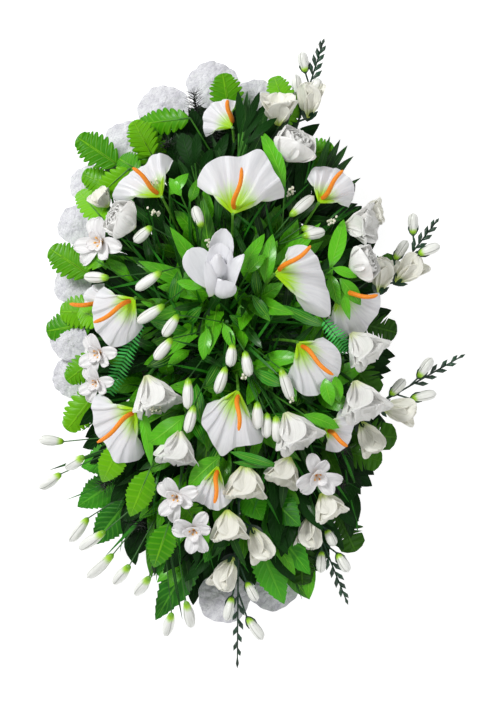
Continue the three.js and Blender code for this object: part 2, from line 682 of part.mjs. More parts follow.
// node name, and each bloom's kind, place, height over the mound, aim, lean and size
const PICKS = {
  magnolia: [["magnolia", -47, 112, 26, 90, 4, 1]],
  rose_top: [["rose", 52, 272, 12, 60, 30, 1.05], ["bell", 36, 318, 0, 90, 50, 0.8]],
  rose_right: [["rose", 141, 120, 14, 20, 34, 0.84], ["trumpet", 134, 178, 2, 0, 40, 0.68],
    ["bell", 158, 190, 4, 10, 60, 0.7]],
  rose_left: [["rose", -168, 176, 18, 150, 30, 0.95], ["star", -203, 152, 4, 180, 34, 0.95],
    ["bell", -196, 201, 2, 130, 46, 0.6]],
  trumpets_left: [["trumpet", -148, -36, 4, -52, 52, 0.72], ["star", -205, 2, 12, 200, 36, 0.78],
    ["star", -209, -38, 10, 200, 30, 0.7]],
  stars_lower: [["trumpet", -100, -112, 6, -92, 56, 0.74], ["star", -100, -192, 14, 215, 24, 0.84],
    ["star", -78, -236, 14, 250, 26, 0.82], ["bell", -34, -212, -2, -84, 64, 0.8]],
  trumpets_lower_right: [["trumpet", 52, -92, 6, -70, 50, 0.7], ["star", 86, -162, 16, -60, 26, 0.86],
    ["bell", 46, -142, -8, -120, 56, 0.7], ["bell", -10, -156, 2, -90, 62, 0.9],
    ["bell", 96, -197, 5, -62, 60, 0.7]],
  trumpet_right: [["trumpet", 142, -52, 12, 150, 30, 0.7], ["trumpet", 148, 22, -6, -10, 54, 0.66]],
};
const PICK_WIRE = { stem: 2.6, branch: 2.2, sides: 4 };

function addPicks() {
  for (const [name, blooms] of Object.entries(PICKS)) {
    const heads = blooms.map(([kind, x, y, lift, aim, lean, size]) => {
      const frame = leaningFrame(x, y, moundHeight(x, y) + lift, aim, lean);
      return { kind, size, frame, place: at(x, y, moundHeight(x, y) + lift) };
    });
    const main = heads[0];
    const root = rootUnder(main.place);
    const route = stemRoute(root, main.place, zAxisOf(main.frame));
    const parts = [stemAlong(route, PICK_WIRE.stem)];
    const fork = route[1];
    heads.forEach(({ kind, size, frame, place }, k) => {
      parts.push(moved(bloomHead(kind, size), frame));
      if (!k) return;
      const branch = [fork, fork.clone().lerp(place, 0.5).setZ(fork.z), place];
      parts.push(solid(tube(branch, PICK_WIRE.branch, PICK_WIRE.sides, 1)));
    });
    addTo(name, PAINT.satin, oneBody(fuse(parts)));
  }
}

// Snowdrop picks: white buds and grass blades on thin stems from one foot

// node name, its foot over the foam, then each bud's foot and tip
const SNOWDROPS = {
  snowdrops_upper_left: { foot: [-72, 142], buds: [[-67, 169, -78, 200], [-135, 173, -160, 151],
    [-193, 103, -228, 105], [-121, 112, -158, 86], [-117, 67, -156, 42]] },
  snowdrops_middle: { foot: [-34, 44], buds: [[-99, 54, -120, 23], [-107, 22, -132, -8],
    [-86, -31, -87, -75], [-78, -68, -88, -107], [-26, 15, -30, -18], [-35, -16, -48, -54],
    [-10, 5, -4, -31], [38, -18, 53, -63], [7, -63, 7, -102], [20, -78, 19, -114], [32, -82, 34, -120]] },
  snowdrops_upper_right: { foot: [22, 152], buds: [[50, 185, 84, 214], [67, 158, 99, 166],
    [66, 172, 96, 160]] },
  snowdrops_far_left: { foot: [-176, -128], buds: [[-256, -120, -292, -117], [-228, -139, -253, -156],
    [-260, -163, -291, -184]] },
  snowdrops_bottom_left: { foot: [-125, -225], buds: [[-223, -223, -250, -257], [-199, -241, -237, -267],
    [-188, -272, -226, -307], [-166, -287, -189, -314], [-139, -303, -159, -329], [-109, -352, -118, -385],
    [-90, -335, -82, -373]] },
};
const BUD = { radius: 6.2, stalk: 1.3, above: 20 };

function addSnowdrops() {
  for (const [name, { foot: [fx, fy], buds }] of Object.entries(SNOWDROPS)) {
    const from = at(fx, fy, Math.max(60, moundHeight(fx, fy) - 20));
    const root = rootUnder(from);
    addTo(name, PAINT.cream, stemBetween(root, from, from.clone().sub(root).normalize(), 2.4));
    const grown = buds.map(([sx, sy, tx, ty]) => {
      const [start, tip] = [[sx, sy], [tx, ty]].map(([x, y]) => at(x, y, moundHeight(x, y) + BUD.above));
      return { start, tip };
    });
    steepestFirst(from, root, grown).forEach(({ start, tip }, k) => {
      const joint = from.clone().lerp(root, 0.03 + 0.085 * k);
      settle(name, PAINT.cream, ({ lift, turn }) => {
        const foot = start.clone().add(at(0, 0, lift));
        const end = swungTip(foot, tip.clone().add(at(0, 0, lift)), { lift: 0, turn: turn / 2 }, 1);
        return budOnStem(budStations(joint, BUD.stalk, foot, end, BUD.radius));
      });
      if (k % 3) return;
      settle(name, PAINT.cream, (swing, size) => {
        const blade = swungTip(joint, start.clone().lerp(tip, 0.4).add(at(0, 0, -8)), swing, size);
        return solid(lanceLeaf(joint.clone().lerp(root, 0.04), blade, 5, 10));
      });
    });
  }
}

// Long sprays: a dark stem with cupped buds, open blooms and leaf buds towards its tip

// stem's foot and tip with heights, then buds and blooms as foot and tip on the floor plan
const SPRAYS = {
  spray_top: { from: [58, 300, 92], tip: [99, 432, 74], buds: [[73, 384, 68, 413], [63, 345, 60, 382],
    [84, 356, 92, 376]], blooms: [[76, 322, 80, 352]] },
  spray_right: { from: [162, 66, 92], tip: [256, 186, 84], buds: [[220, 162, 220, 193], [194, 128, 212, 155],
    [226, 136, 257, 148]], blooms: [[196, 98, 226, 124], [172, 84, 180, 114]] },
  spray_lower_right: { from: [130, -92, 100], tip: [292, 0, 84], buds: [[226, -33, 246, -5],
    [188, -57, 209, -34], [216, -61, 252, -54]], blooms: [[176, -72, 214, -80], [148, -92, 164, -124]] },
  spray_bottom_right: { from: [70, -190, 104], tip: [132, -344, 58], buds: [[101, -239, 113, -262],
    [95, -268, 94, -299], [116, -272, 132, -298]], blooms: [[80, -218, 76, -256]] },
  spray_bottom: { from: [-18, -200, 138], tip: [-20, -432, 46], buds: [[-27, -330, -35, -364],
    [-8, -310, 7, -337], [-7, -359, 15, -390]], blooms: [[-26, -276, -46, -318], [0, -236, 14, -272]] },
};

const SPRAY_WIRE = { foot: 2.4, stem: 1.9, stalk: 1.5, arch: 4 };
const SPRAY_BUD = 6.6; // radius
const LEAF_BUD = { count: 4, length: 17, radius: 2.6, turn: 30 };

function addSprays() {
  for (const [name, { from, tip, buds, blooms }] of Object.entries(SPRAYS)) {
    const start = at(...from);
    const end = at(...tip);
    const root = rootUnder(start);
    const rib = end.clone().sub(start).normalize();
    const rising = rib.clone().add(at(0, 0, 0.6)).normalize();
    const parts = [stemBetween(root, start, rising, SPRAY_WIRE.foot)];
    const middle = start.clone().lerp(end, 0.55).add(at(0, 0, SPRAY_WIRE.arch));
    parts.push(solid(tube([start, middle, end.clone().lerp(start, 0.06)], SPRAY_WIRE.stem, STEM_SIDES, 1)));
    const archedAt = (share) =>
      start.clone().lerp(end, share).add(at(0, 0, 4 * SPRAY_WIRE.arch * share * (1 - share)));
    const onStem = (x, y) => {
      const along = at(x - start.x, y - start.y, 0).dot(rib) / start.distanceTo(end);
      return archedAt(THREE.MathUtils.clamp(along, 0.02, 0.96));
    };
    for (const [sx, sy, tx, ty] of buds) {
      const joint = onStem(sx, sy);
      const foot = at(sx, sy, joint.z + 3);
      const bud = at(tx, ty, joint.z + 6);
      const back = joint.clone().addScaledVector(rib, -14);
      parts.push(budOnStem(budStations(back.setZ(joint.z), SPRAY_WIRE.stalk, foot, bud, SPRAY_BUD)));
    }
    for (const [sx, sy, tx, ty] of blooms) {
      const joint = onStem(sx, sy);
      const foot = at(sx, sy, joint.z + 4);
      const axis = at(tx - sx, ty - sy, 6).normalize();
      const across = at(-axis.y, axis.x, 0).normalize();
      const frame = new THREE.Matrix4().makeBasis(across, axis.clone().cross(across), axis);
      parts.push(moved(bloomHead("bell", 0.82), frame.setPosition(foot)));
      parts.push(solid(tube([joint.addScaledVector(rib, -8), foot], SPRAY_WIRE.stalk + 0.1, STEM_SIDES, 1)));
    }
    for (let k = 0; k < LEAF_BUD.count; k++) {
      const last = k === LEAF_BUD.count - 1;
      const joint = archedAt(0.7 + (0.28 * k) / LEAF_BUD.count);
      const turn = (k % 2 ? 1 : -1) * (last ? 0 : LEAF_BUD.turn) * DEGREE;
      const out = rib.clone().applyAxisAngle(at(0, 0, 1), turn).multiplyScalar(LEAF_BUD.length);
      const reach = last ? end.clone().sub(joint) : out;
      const bud = spike(reach.length(), LEAF_BUD.radius);
      parts.push(solid(placed(bud, frameAlong(joint, joint.clone().add(reach)))));
    }
    addTo(name, PAINT.cream, oneBody(fuse(parts)));
  }
}

// Fronds round the rim and saw-edged leaves at the bottom

const FERN = { width: 44, lobes: 4, cut: 0.5, arch: 6, droop: 6 };
const SAW = { width: 50, lobes: 4, cut: 0.8, arch: 8, droop: 6, lean: 0.7 };
const PINNATE = { width: 26, lobes: 10, cut: 0.16, arch: 8, droop: 4, taper: 0.5, lean: 0.5 };

// node name, kind of leaf, crown, then each leaf's foot and tip: the stalk runs on from foot to crown
const FRONDS = {
  ferns_top: { crown: [-20, 285, 66], leaves: [[-57, 340, -15, 383], [52, 329, 29, 382],
    [60, 300, 110, 278]] },
  ferns_upper_left: { crown: [-110, 225, 70], leaves: [[-84, 321, -156, 313], [-152, 262, -160, 315],
    [-188, 254, -249, 279], [-205, 184, -239, 230]] },
  ferns_left: { crown: [-150, 60, 72], leaves: [[-227, 155, -286, 128], [-214, 125, -261, 87],
    [-227, 69, -284, 31], [-238, 20, -252, -36], [-205, -54, -272, -88]] },
  ferns_right: { crown: [110, 60, 66], leaves: [[136, 150, 178, 124], [160, 100, 200, 130],
    [158, 73, 200, 42], [163, 19, 192, -34]] },
  ferns_lower_right: { crown: [70, -120, 66], leaves: [[133, -130, 198, -114], [116, -146, 164, -172],
    [100, -222, 142, -270], [72, -250, 94, -312]] },
  saw_leaves_left: { saw: true, crown: [-122, -146, 84], leaves: [[-141, -246, -218, -262],
    [-173, -190, -240, -210], [-184, -128, -228, -170], [-118, -185, -190, -201],
    [-125, -219, -126, -306]] },
  saw_leaves_bottom: { saw: true, crown: [-22, -196, 88], leaves: [[-84, -228, -24, -290],
    [-92, -290, -46, -394], [8, -265, 4, -352], [24, -217, 62, -311], [24, -178, 64, -232],
    [-14, -182, 12, -222]] },
  emerald_left: { pinnate: true, crown: [-150, 52, 152], leaves: [[-156, 46, -208, -50]] },
  emerald_right: { pinnate: true, crown: [92, 56, 172], leaves: [[95, 53, 131, 2]] },
};
const FROND_LIFT = -4;

function addFronds() {
  for (const [name, { saw, pinnate, crown, leaves }] of Object.entries(FRONDS)) {
    const kind = saw ? SAW : pinnate ? PINNATE : FERN;
    const material = saw ? PAINT.leaf : pinnate ? PAINT.emerald : PAINT.fern;
    const from = at(...crown);
    const root = rootUnder(from);
    const stem = stemBetween(root, from, from.clone().sub(root).normalize(), 2.2);
    addTo(name, material, stem);
    const grown = leaves.map(([fx, fy, tx, ty]) => ({
      tip: at(tx, ty, moundHeight(tx, ty) + FROND_LIFT + (pinnate ? 26 : 0)),
      leafy: Math.hypot(tx - fx, ty - fy),
    }));
    steepestFirst(from, root, grown).forEach(({ tip, leafy }, k) => {
      const joint = from.clone().lerp(root, 0.03 + 0.08 * k);
      settle(name, material, (swing, size) => {
        const end = swungTip(joint, tip, swing, 1);
        const length = joint.distanceTo(end);
        const stalk = Math.max(2, length - leafy * (size < 1 ? size : 1));
        const width = kind.width * (leafy < 60 ? 0.86 : 1) * size;
        const flat = frond({ ...kind, length, stalk, width });
        return solid(placed(flat, frameAlong(joint, end)).translate(0, 0, -LEAF / 2));
      });
    });
  }
}

// Leafy stems: lance and oval leaves that fan from a crown

// node name, crown, width of the leaves, then each leaf's tip, height over the mound, and own width if any
const LEAFY = {
  lance_top: { crown: [-14, 250, 128], width: 15, leaves: [[-20, 357, 20], [-3, 348, 6], [12, 356, 16],
    [24, 340, 18], [38, 321, 16], [-42, 300, -12], [15, 301, 30, 20], [-73, 305, 0, 16],
    [-104, 301, -4, 18]] },
  lance_upper_right: { crown: [92, 232, 100], width: 13, leaves: [[106, 296, 14], [120, 292, 6],
    [130, 284, 16], [136, 268, 8], [72, 292, -10], [148, 240, 0], [118, 180, 0, 18]] },
  oval_left: { crown: [-52, 88, 130], width: 22, leaves: [[-140, 150, -8], [-182, 134, 2],
    [-118, 122, 0], [-114, 92, -6], [-142, 70, -14], [-100, 178, -2], [-70, 8, 0], [-50, -2, 10],
    [-104, 50, -14], [-142, 14, -16], [-84, 214, -4]] },
  oval_right: { crown: [6, 92, 134], width: 22, leaves: [[16, 164, 10], [34, 153, 6], [60, 74, -8],
    [24, 44, 12], [103, 49, -8], [80, 42, -22], [44, 30, -4], [0, 30, -12], [78, 132, -16],
    [112, 128, -16], [48, 206, -8]] },
  oval_lower: { crown: [-52, -66, 124], width: 26, leaves: [[-139, -117, 6], [-84, -180, 10],
    [-136, -152, 0], [-216, -84, 0], [-112, -44, -18], [-20, -146, -18], [54, -158, 6], [-4, -112, -24],
    [-60, -132, -20]] },
  oval_lower_right: { crown: [90, -54, 118], width: 24, leaves: [[140, -76, 10], [138, 6, -10],
    [164, -20, -8], [128, 60, 0], [154, 74, 10], [147, 106, 6], [96, -120, -14], [60, -70, -10],
    [8, -20, -14]] },
};

// How leaves follow one another down their stem, as shares of it from its crown to its root
const JOINTS = { first: 0.03, step: 0.055 };
const LEAFY_STEM = 2.6;

function addLeafyStems() {
  for (const [name, { crown, width, leaves }] of Object.entries(LEAFY)) {
    const from = at(...crown);
    const root = rootUnder(from);
    addTo(name, PAINT.leaf, stemBetween(root, from, from.clone().sub(root).normalize(), LEAFY_STEM));
    const grown = leaves.map(([x, y, lift, own = width]) => {
      return { tip: at(x, y, moundHeight(x, y) + lift), own };
    });
    steepestFirst(from, root, grown).forEach(({ tip, own }, k) => {
      const foot = from.clone().lerp(root, JOINTS.first + JOINTS.step * k);
      settle(name, PAINT.leaf, (swing, size) => {
        const end = swungTip(foot, tip, swing, size);
        return solid(lanceLeaf(foot, end, own * (size < 1 ? 0.8 : 1), 0.1 * foot.distanceTo(end)));
      });
    });
  }
}

// Black artificial fir: a garland round the foam with tufts that reach the gaps of the rim

const FIR = { halfWidth: 118, halfLength: 212, wire: 3.4, needle: 20 };
const TUFTS = [[-78, 352, 44], [-114, 284, 56], [-205, -188, 46], [-158, -242, 44], [130, -188, 46]];

function addFir() {
  const random = (() => {
    let state = 20240613;
    return () => {
      state = (state * 1664525 + 1013904223) % 4294967296;
      return state / 4294967296;
    };
  })();
  const onGarland = (turn) =>
    at(FOAM.x + FIR.halfWidth * Math.cos(turn),
      FOAM.y + FIR.halfLength * Math.sin(turn),
      BOARD.thickness + GAP + FIR.wire);
  const corners = 14;
  const cornerStep = (2 * Math.PI) / corners;
  const loop = new THREE.TorusGeometry(1, 0.1, 4, corners);
  const flat = bent(loop, (p) => {
    const turn = Math.atan2(p.y, p.x);
    const out = (Math.hypot(p.x, p.y) - 1) * 10 * FIR.wire;
    const there = onGarland(turn).add(at(out * Math.cos(turn), out * Math.sin(turn), p.z * 10 * FIR.wire));
    p.copy(there);
  });
  addTo("fir_garland", PAINT.fir, solid(flat));
  const needles = (from, to, count) => {
    const axis = to.clone().sub(from).normalize();
    const side = axis.clone().cross(at(0, 0, 1)).normalize();
    for (let k = 0; k < count; k++) {
      const root = from.clone().lerp(to, (k + 0.5) / count);
      const turn = 2.4 * k + random();
      settleNeedle(root, axis.clone().multiplyScalar(0.5 + 0.3 * random())
        .add(side.clone().applyAxisAngle(axis, turn)).normalize());
    }
  };
  const settleNeedle = (root, way) => {
    const tip = root.clone().addScaledVector(way, FIR.needle);
    if (tip.z < 3) return;
    const made = solid(placed(turned([[0, 0], [0, 1], [FIR.needle, 0]], 3), frameAlong(root, tip)));
    if (isClear("fir_garland", made)) addTo("fir_garland", PAINT.fir, made);
  };
  for (const [x, y, z] of TUFTS) {
    const tip = at(x, y, z);
    const toward = Math.atan2((y - FOAM.y) / FIR.halfLength, (x - FOAM.x) / FIR.halfWidth);
    const start = onGarland(Math.round(toward / cornerStep) * cornerStep);
    for (const side of [0, 8, -8, 16, -16, 26]) {
      const end = tip.clone().add(at(side * 0.4, side, side * 0.3));
      const made = solid(tube([start, end], 1.8, 3, 1));
      if (!isClear("fir_garland", made)) continue;
      addTo("fir_garland", PAINT.fir, made);
      needles(start.clone().lerp(end, 0.35), end, 7);
      break;
    }
  }
  for (let k = 0; k < corners; k += 2) {
    const turn = cornerStep * k;
    settleNeedle(onGarland(turn), at(Math.cos(turn), Math.sin(turn), 0.3 + 0.5 * random()).normalize());
  }
}

addCarnations();
addAnthuriums();
addPicks();
addSprays();
addSnowdrops();
addFronds();
addLeafyStems();
addTo("backing_board", PAINT.board, backingBoard());
addFir();
addTo("foam_pad", PAINT.foam, oneBody(pierced(foamPad())));

const group = new THREE.Group();
for (const [name, { material, solids }] of nodes) {
  const made = tidied(oneBody(fuse(solids.map((there) => there.made))));
  const piece = new THREE.Mesh(geometryOf(made), material);
  piece.name = name;
  group.add(piece);
}

export default group;
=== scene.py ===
# %% [markdown]
# # An oval arrangement of artificial flowers
#
# The real thing is made by hand. A flat board carries a pad of foam, and about fifty wired picks of
# silk and plastic flowers are pushed into the foam, so close together that hardly any of it shows.
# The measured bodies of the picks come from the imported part. This lesson dresses them: each petal,
# leaf and stem is modelled once as a blank, and copies of the blank are bent into their places.

# %% Load the measured frame
import itertools
import math
import random

import bpy
import numpy as np
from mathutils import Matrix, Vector
from mathutils.bvhtree import BVHTree


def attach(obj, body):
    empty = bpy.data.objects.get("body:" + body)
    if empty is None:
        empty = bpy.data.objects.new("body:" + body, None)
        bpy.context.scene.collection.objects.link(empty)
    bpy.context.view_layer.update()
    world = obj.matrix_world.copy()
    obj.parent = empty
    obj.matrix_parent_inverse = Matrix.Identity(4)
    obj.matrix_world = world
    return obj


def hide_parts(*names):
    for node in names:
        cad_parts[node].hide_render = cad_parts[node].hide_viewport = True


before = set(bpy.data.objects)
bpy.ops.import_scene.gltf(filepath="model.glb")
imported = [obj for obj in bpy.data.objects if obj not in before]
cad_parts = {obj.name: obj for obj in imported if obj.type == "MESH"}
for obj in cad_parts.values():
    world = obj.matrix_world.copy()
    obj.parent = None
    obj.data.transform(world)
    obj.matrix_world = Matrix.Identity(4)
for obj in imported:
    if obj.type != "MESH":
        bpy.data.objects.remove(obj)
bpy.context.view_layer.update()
MM = 0.001

# %% [markdown]
# ## The camera
#
# The arrangement was seen straight from the front, and here it lies on its back, so the camera looks
# straight down. A long lens from far away keeps the rim and the raised middle at one scale, as a
# lens close by would make the middle too large.

# %% Camera
VIEW_CENTRE = (-0.0163, -0.0082)
VIEW_WIDTH = 0.6528
VIEW_PLANE = 0.12
VIEW_DISTANCE = 8.0
SENSOR = 36.0

bpy.ops.object.select_all(action="DESELECT")
bpy.ops.object.camera_add(location=(*VIEW_CENTRE, VIEW_PLANE + VIEW_DISTANCE), rotation=(0, 0, 0))
camera = bpy.context.object
camera.name = "camera"
camera.data.sensor_fit = "HORIZONTAL"
camera.data.sensor_width = SENSOR
camera.data.lens = SENSOR * VIEW_DISTANCE / VIEW_WIDTH
bpy.context.scene.camera = camera
print("lens in millimetres:", round(camera.data.lens, 1))

# %% [markdown]
# ## Numbers for places
#
# Places are worked out in millimetres with numpy, and only a finished mesh is scaled to metres. A
# frame is three rows, the directions of its own x, y and z, so a point of a blank is moved there by
# one matrix product. The mound's height and the places of the roots follow the measured part.

# %% Points and frames
TURN = 2 * math.pi
MOUND = {"x": -25, "y": 5, "half_width": 238, "half_length": 400, "rim": 52, "top": 182}
FOAM = {"x": -30, "y": 15, "z": 10.4, "half_width": 98, "half_length": 190, "height": 78}
ROOT_CENTRE, LOWEST_ROOT = FOAM["z"] + 12, FOAM["z"] + 20
KNEE_SHARE = 0.4


def vec(*numbers):
    return np.array(numbers, float)


def points_of(x, y, z):
    return np.stack([x, y, z], axis=1)


def unit(v):
    return v / max(1e-9, np.linalg.norm(v))


def mix(a, b, share):
    return a + (b - a) * share


def eased(x, low, high):
    """Nought below low, one above high, and smooth between."""
    t = np.clip((x - low) / (high - low), 0, 1)
    return t * t * (3 - 2 * t)


def pulled(start, corner, end, t):
    """The curve from start to end that is pulled towards a corner."""
    return (1 - t) ** 2 * start + 2 * t * (1 - t) * corner + t * t * end


# %% [markdown]
# A leaf's frame has x along it and y level across it. A bloom's frame has z through its middle, and
# it leans so that its x points down towards its aim.

# %% Turns and frames
def cos_sin(degrees):
    return math.cos(math.radians(degrees)), math.sin(math.radians(degrees))


def turned(v, degrees):
    c, s = cos_sin(degrees)
    return vec(v[0] * c - v[1] * s, v[0] * s + v[1] * c, v[2])


def spun(points, degrees):
    c, s = cos_sin(degrees)
    return points @ np.array([[c, s, 0], [-s, c, 0], [0, 0, 1]])


def frame_along(start, end, roll=0.0):
    x = unit(end - start)
    y = unit(np.cross((0, 0, 1), x))
    z = np.cross(x, y)
    c, s = cos_sin(roll)
    return np.array([x, c * y + s * z, c * z - s * y])


def bloom_axes(aim, slope):
    (c, s), (level, drop) = cos_sin(aim), cos_sin(slope)
    x, y = vec(c * level, s * level, -drop), vec(-s, c, 0)
    return np.array([x, y, np.cross(x, y)])


print("the frame of a leaf that lies along x:", frame_along(vec(0, 0, 0), vec(1, 0, 0)).tolist())

# %% [markdown]
# Heads stand on a mound like half an egg. Each stem starts in the foam under its head, and it meets
# the head along the head's own axis, so it has a knee between.

# %% Mound, roots and stem routes
def from_middle(x, y):
    """Nought in the middle of the mound, one at its rim."""
    return math.hypot((x - MOUND["x"]) / MOUND["half_width"], (y - MOUND["y"]) / MOUND["half_length"])


def mound_height(x, y):
    out = from_middle(x, y)
    return MOUND["rim"] + (MOUND["top"] - MOUND["rim"]) * math.sqrt(max(0, 1 - out * out))


def over_mound(x, y, lift=0.0):
    return vec(x, y, mound_height(x, y) + lift)


def root_under(head, depth=0.7):
    centre = vec(FOAM["x"], FOAM["y"], ROOT_CENTRE)
    out = head - centre
    level = np.linalg.norm(out / vec(FOAM["half_width"], FOAM["half_length"], FOAM["height"]))
    root = centre + out * depth / level
    root[2] = max(root[2], LOWEST_ROOT)
    return root


def stem_route(root, head, axis):
    """Root, middle and head of a stem, the middle taken on the curve that its knee pulls."""
    knee = head - KNEE_SHARE * np.linalg.norm(head - root) * axis
    line = pulled(root, knee, head, np.linspace(0, 1, 201)[:, None])
    lengths = np.concatenate([[0], np.cumsum(np.linalg.norm(np.diff(line, axis=0), axis=1))])
    middle = [np.interp(lengths[-1] / 2, lengths, line[:, k]) for k in range(3)]
    return [root, vec(*middle), head]


print("height of the mound in the middle:", round(mound_height(-25, 5), 1), "mm")

# %% [markdown]
# ## Blanks
#
# Petals and leaves of such flowers are stamped from flat cloth, and stems and buds are moulded
# round. So there are three kinds of blank: a flat card, a tube, and a ball. Each is a primitive that
# is cut into strips in edit mode. A blank could also be bent by hand one leaf at a time, but one
# arrangement has over a thousand leaves, so its points are read once and bent by formula.

# %% Blanks
def read(items, key, width, kind=float):
    values = np.zeros(len(items) * width, np.float32 if kind is float else np.int32)
    items.foreach_get(key, values)
    return values.reshape(-1, width).astype(kind) if width > 1 else values.astype(kind)


class Blank:
    """A primitive as arrays: its points, its faces, and each face corner's place along and across."""

    def __init__(self, thing):
        mesh = thing.data
        self.points = read(mesh.vertices, "co", 3)
        self.corners = read(mesh.loops, "vertex_index", 1, int)
        self.sizes = read(mesh.polygons, "loop_total", 1, int)
        self.places = read(mesh.uv_layers[0].data, "uv", 2)
        bpy.data.objects.remove(thing)

    @property
    def uv(self):
        """How far each point of a card is along it and across it."""
        return self.points[:, 0], self.points[:, 1]

    @property
    def ring(self):
        """How far each point of a round blank is along it, and its angle."""
        return self.points[:, 2], np.arctan2(self.points[:, 1], self.points[:, 0])


def flat_blank(along, across):
    bpy.ops.object.select_all(action="DESELECT")
    bpy.ops.mesh.primitive_grid_add(x_subdivisions=along, y_subdivisions=across, size=2)
    bpy.ops.object.mode_set(mode="EDIT")
    bpy.ops.mesh.select_all(action="SELECT")
    bpy.ops.transform.translate(value=(1, 0, 0))
    bpy.ops.transform.resize(value=(0.5, 1, 1), center_override=(0, 0, 0))
    bpy.ops.object.mode_set(mode="OBJECT")
    return Blank(bpy.context.object)


def cut_along(thing, rings):
    mesh = thing.data
    for face in mesh.polygons:
        face.select = False
    for edge in mesh.edges:
        a, b = (mesh.vertices[i].co for i in edge.vertices)
        edge.select = abs(a.z - b.z) > 0.5
    for vertex in mesh.vertices:
        vertex.select = False
    bpy.context.tool_settings.mesh_select_mode = (False, True, False)
    bpy.ops.object.mode_set(mode="EDIT")
    bpy.ops.mesh.subdivide(number_cuts=rings - 1)
    bpy.ops.object.mode_set(mode="OBJECT")


def round_blank(along, around, ends="NOTHING"):
    bpy.ops.object.select_all(action="DESELECT")
    bpy.ops.mesh.primitive_cylinder_add(
        vertices=around, radius=1, depth=1, end_fill_type=ends, location=(0, 0, 0.5))
    bpy.ops.object.transform_apply(location=True, rotation=False, scale=False)
    cut_along(bpy.context.object, along)
    blank = Blank(bpy.context.object)
    blank.places[:, 1] = blank.places[:, 0]
    blank.places[:, 0] = blank.points[blank.corners, 2]
    return blank


def ball_blank(along, around):
    bpy.ops.object.select_all(action="DESELECT")
    bpy.ops.mesh.primitive_uv_sphere_add(segments=around, ring_count=along, radius=1)
    blank = Blank(bpy.context.object)
    blank.points[:, 2] = np.arccos(np.clip(-blank.points[:, 2], -1, 1)) / math.pi
    blank.places[:, 1] = blank.places[:, 0]
    blank.places[:, 0] = blank.points[blank.corners, 2]
    return blank


SPATHE_BLANK = flat_blank(20, 60)
PETAL_BLANK = flat_blank(14, 12)
BLADE_BLANK = flat_blank(10, 4)
GRASS_BLANK = flat_blank(7, 2)
SAW_BLANK = flat_blank(34, 8)
FERN_BLANK = flat_blank(72, 8)
COMB_BLANK = flat_blank(3, 2)
STEM_BLANK = round_blank(6, 6, "NGON")
ROD_BLANK = round_blank(16, 14, "NGON")
FRILL_BLANK = round_blank(8, 84)
BUD_BLANK = ball_blank(11, 18)
SEED_BLANK = ball_blank(5, 7)
SPIKE_BLANK = round_blank(2, 4, "NGON")
print("faces of a spathe's blank:", len(SPATHE_BLANK.sizes))

# %% [markdown]
# ## From copies to one piece
#
# A bunch gathers the bent copies of a pick and makes one mesh of them. Each copy carries a number
# called shade, so that a finish can give neighbouring leaves slightly different tones; on the
# scattered filling it is mostly painted shade, lower for leaves laid deeper. Cloth has a thickness,
# which Solidify gives to all the sheets of the bunch at once, as they are open cards. The shades
# follow fixed steps, or the golden share, so that no two neighbours are alike.

# %% Bunches and pieces
THIN_CLOTH, CLOTH = 0.6, 0.7
SHADE_STEP, GOLDEN = 0.37, 0.618


class Bunch:
    """Bent copies of blanks, gathered for one mesh."""

    def __init__(self):
        self.points, self.corners, self.sizes, self.places, self.shades = [], [], [], [], []
        self.count = 0

    def lay(self, blank, points, shade=0.5):
        self.points.append(points)
        self.corners.append(blank.corners + self.count)
        self.sizes.append(blank.sizes)
        self.places.append(blank.places)
        self.shades.append(np.full(len(points), shade))
        self.count += len(points)


made_pieces = []


def piece(bunch, name, finish, nodes=(), slot=None, thick=0.0, crease=50):
    """One mesh from a bunch, with its finish, thickness and place in the frame."""
    if not bunch.count:
        return
    mesh = bpy.data.meshes.new(name)
    points = np.concatenate(bunch.points) * MM
    corners = np.concatenate(bunch.corners)
    sizes = np.concatenate(bunch.sizes)
    mesh.vertices.add(len(points))
    mesh.vertices.foreach_set("co", points.astype(np.float32).ravel())
    mesh.loops.add(len(corners))
    mesh.loops.foreach_set("vertex_index", corners.astype(np.int32))
    mesh.polygons.add(len(sizes))
    mesh.polygons.foreach_set("loop_start", (np.cumsum(sizes) - sizes).astype(np.int32))
    mesh.update(calc_edges=True)
    mesh.uv_layers.new(name="pattern").data.foreach_set(
        "uv", np.concatenate(bunch.places).astype(np.float32).ravel())
    shade = mesh.attributes.new("shade", "FLOAT", "POINT")
    shade.data.foreach_set("value", np.concatenate(bunch.shades).astype(np.float32))
    mesh.materials.append(finish)
    thing = bpy.data.objects.new(name, mesh)
    bpy.context.scene.collection.objects.link(thing)
    bpy.ops.object.select_all(action="DESELECT")
    thing.select_set(True)
    bpy.context.view_layer.objects.active = thing
    if thick:
        bpy.ops.object.modifier_add(type="SOLIDIFY")
        thing.modifiers[-1].thickness = thick * MM
        thing.modifiers[-1].offset = 0
        bpy.ops.object.modifier_apply(modifier=thing.modifiers[-1].name)
    bpy.ops.object.shade_smooth_by_angle(angle=math.radians(crease))
    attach(thing, "root")
    if nodes:
        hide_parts(*nodes)
    made_pieces.append(thing)


# %% [markdown]
# ## Finding a leaf's place again
#
# On the measured part a leaf that would cross its neighbours was lifted or turned a little. Its tip
# is a corner of the part's mesh, so the same small swings are tried here until the tip meets a
# corner. That way the finer leaf lies on the measured one, instead of only near it.

# %% Swings
LIFTS = (0, 7, -7, 14, -14, 24, -24, 36, -36, 50)
TURNS = (0, 7, -7, 14, -14, 24, -24)
SIZES = (1, 0.8, 0.6)
LOWEST_TIP = 6
SWINGS = sorted([(lift, turn) for lift in LIFTS for turn in TURNS],
                key=lambda swing: abs(swing[0]) + abs(swing[1]))
corners_of = {name: read(node.data.vertices, "co", 3) / MM for name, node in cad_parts.items()}
missed = []


def meets(node, place, reach=1.3):
    return np.abs(corners_of[node] - place).max(axis=1).min() < reach


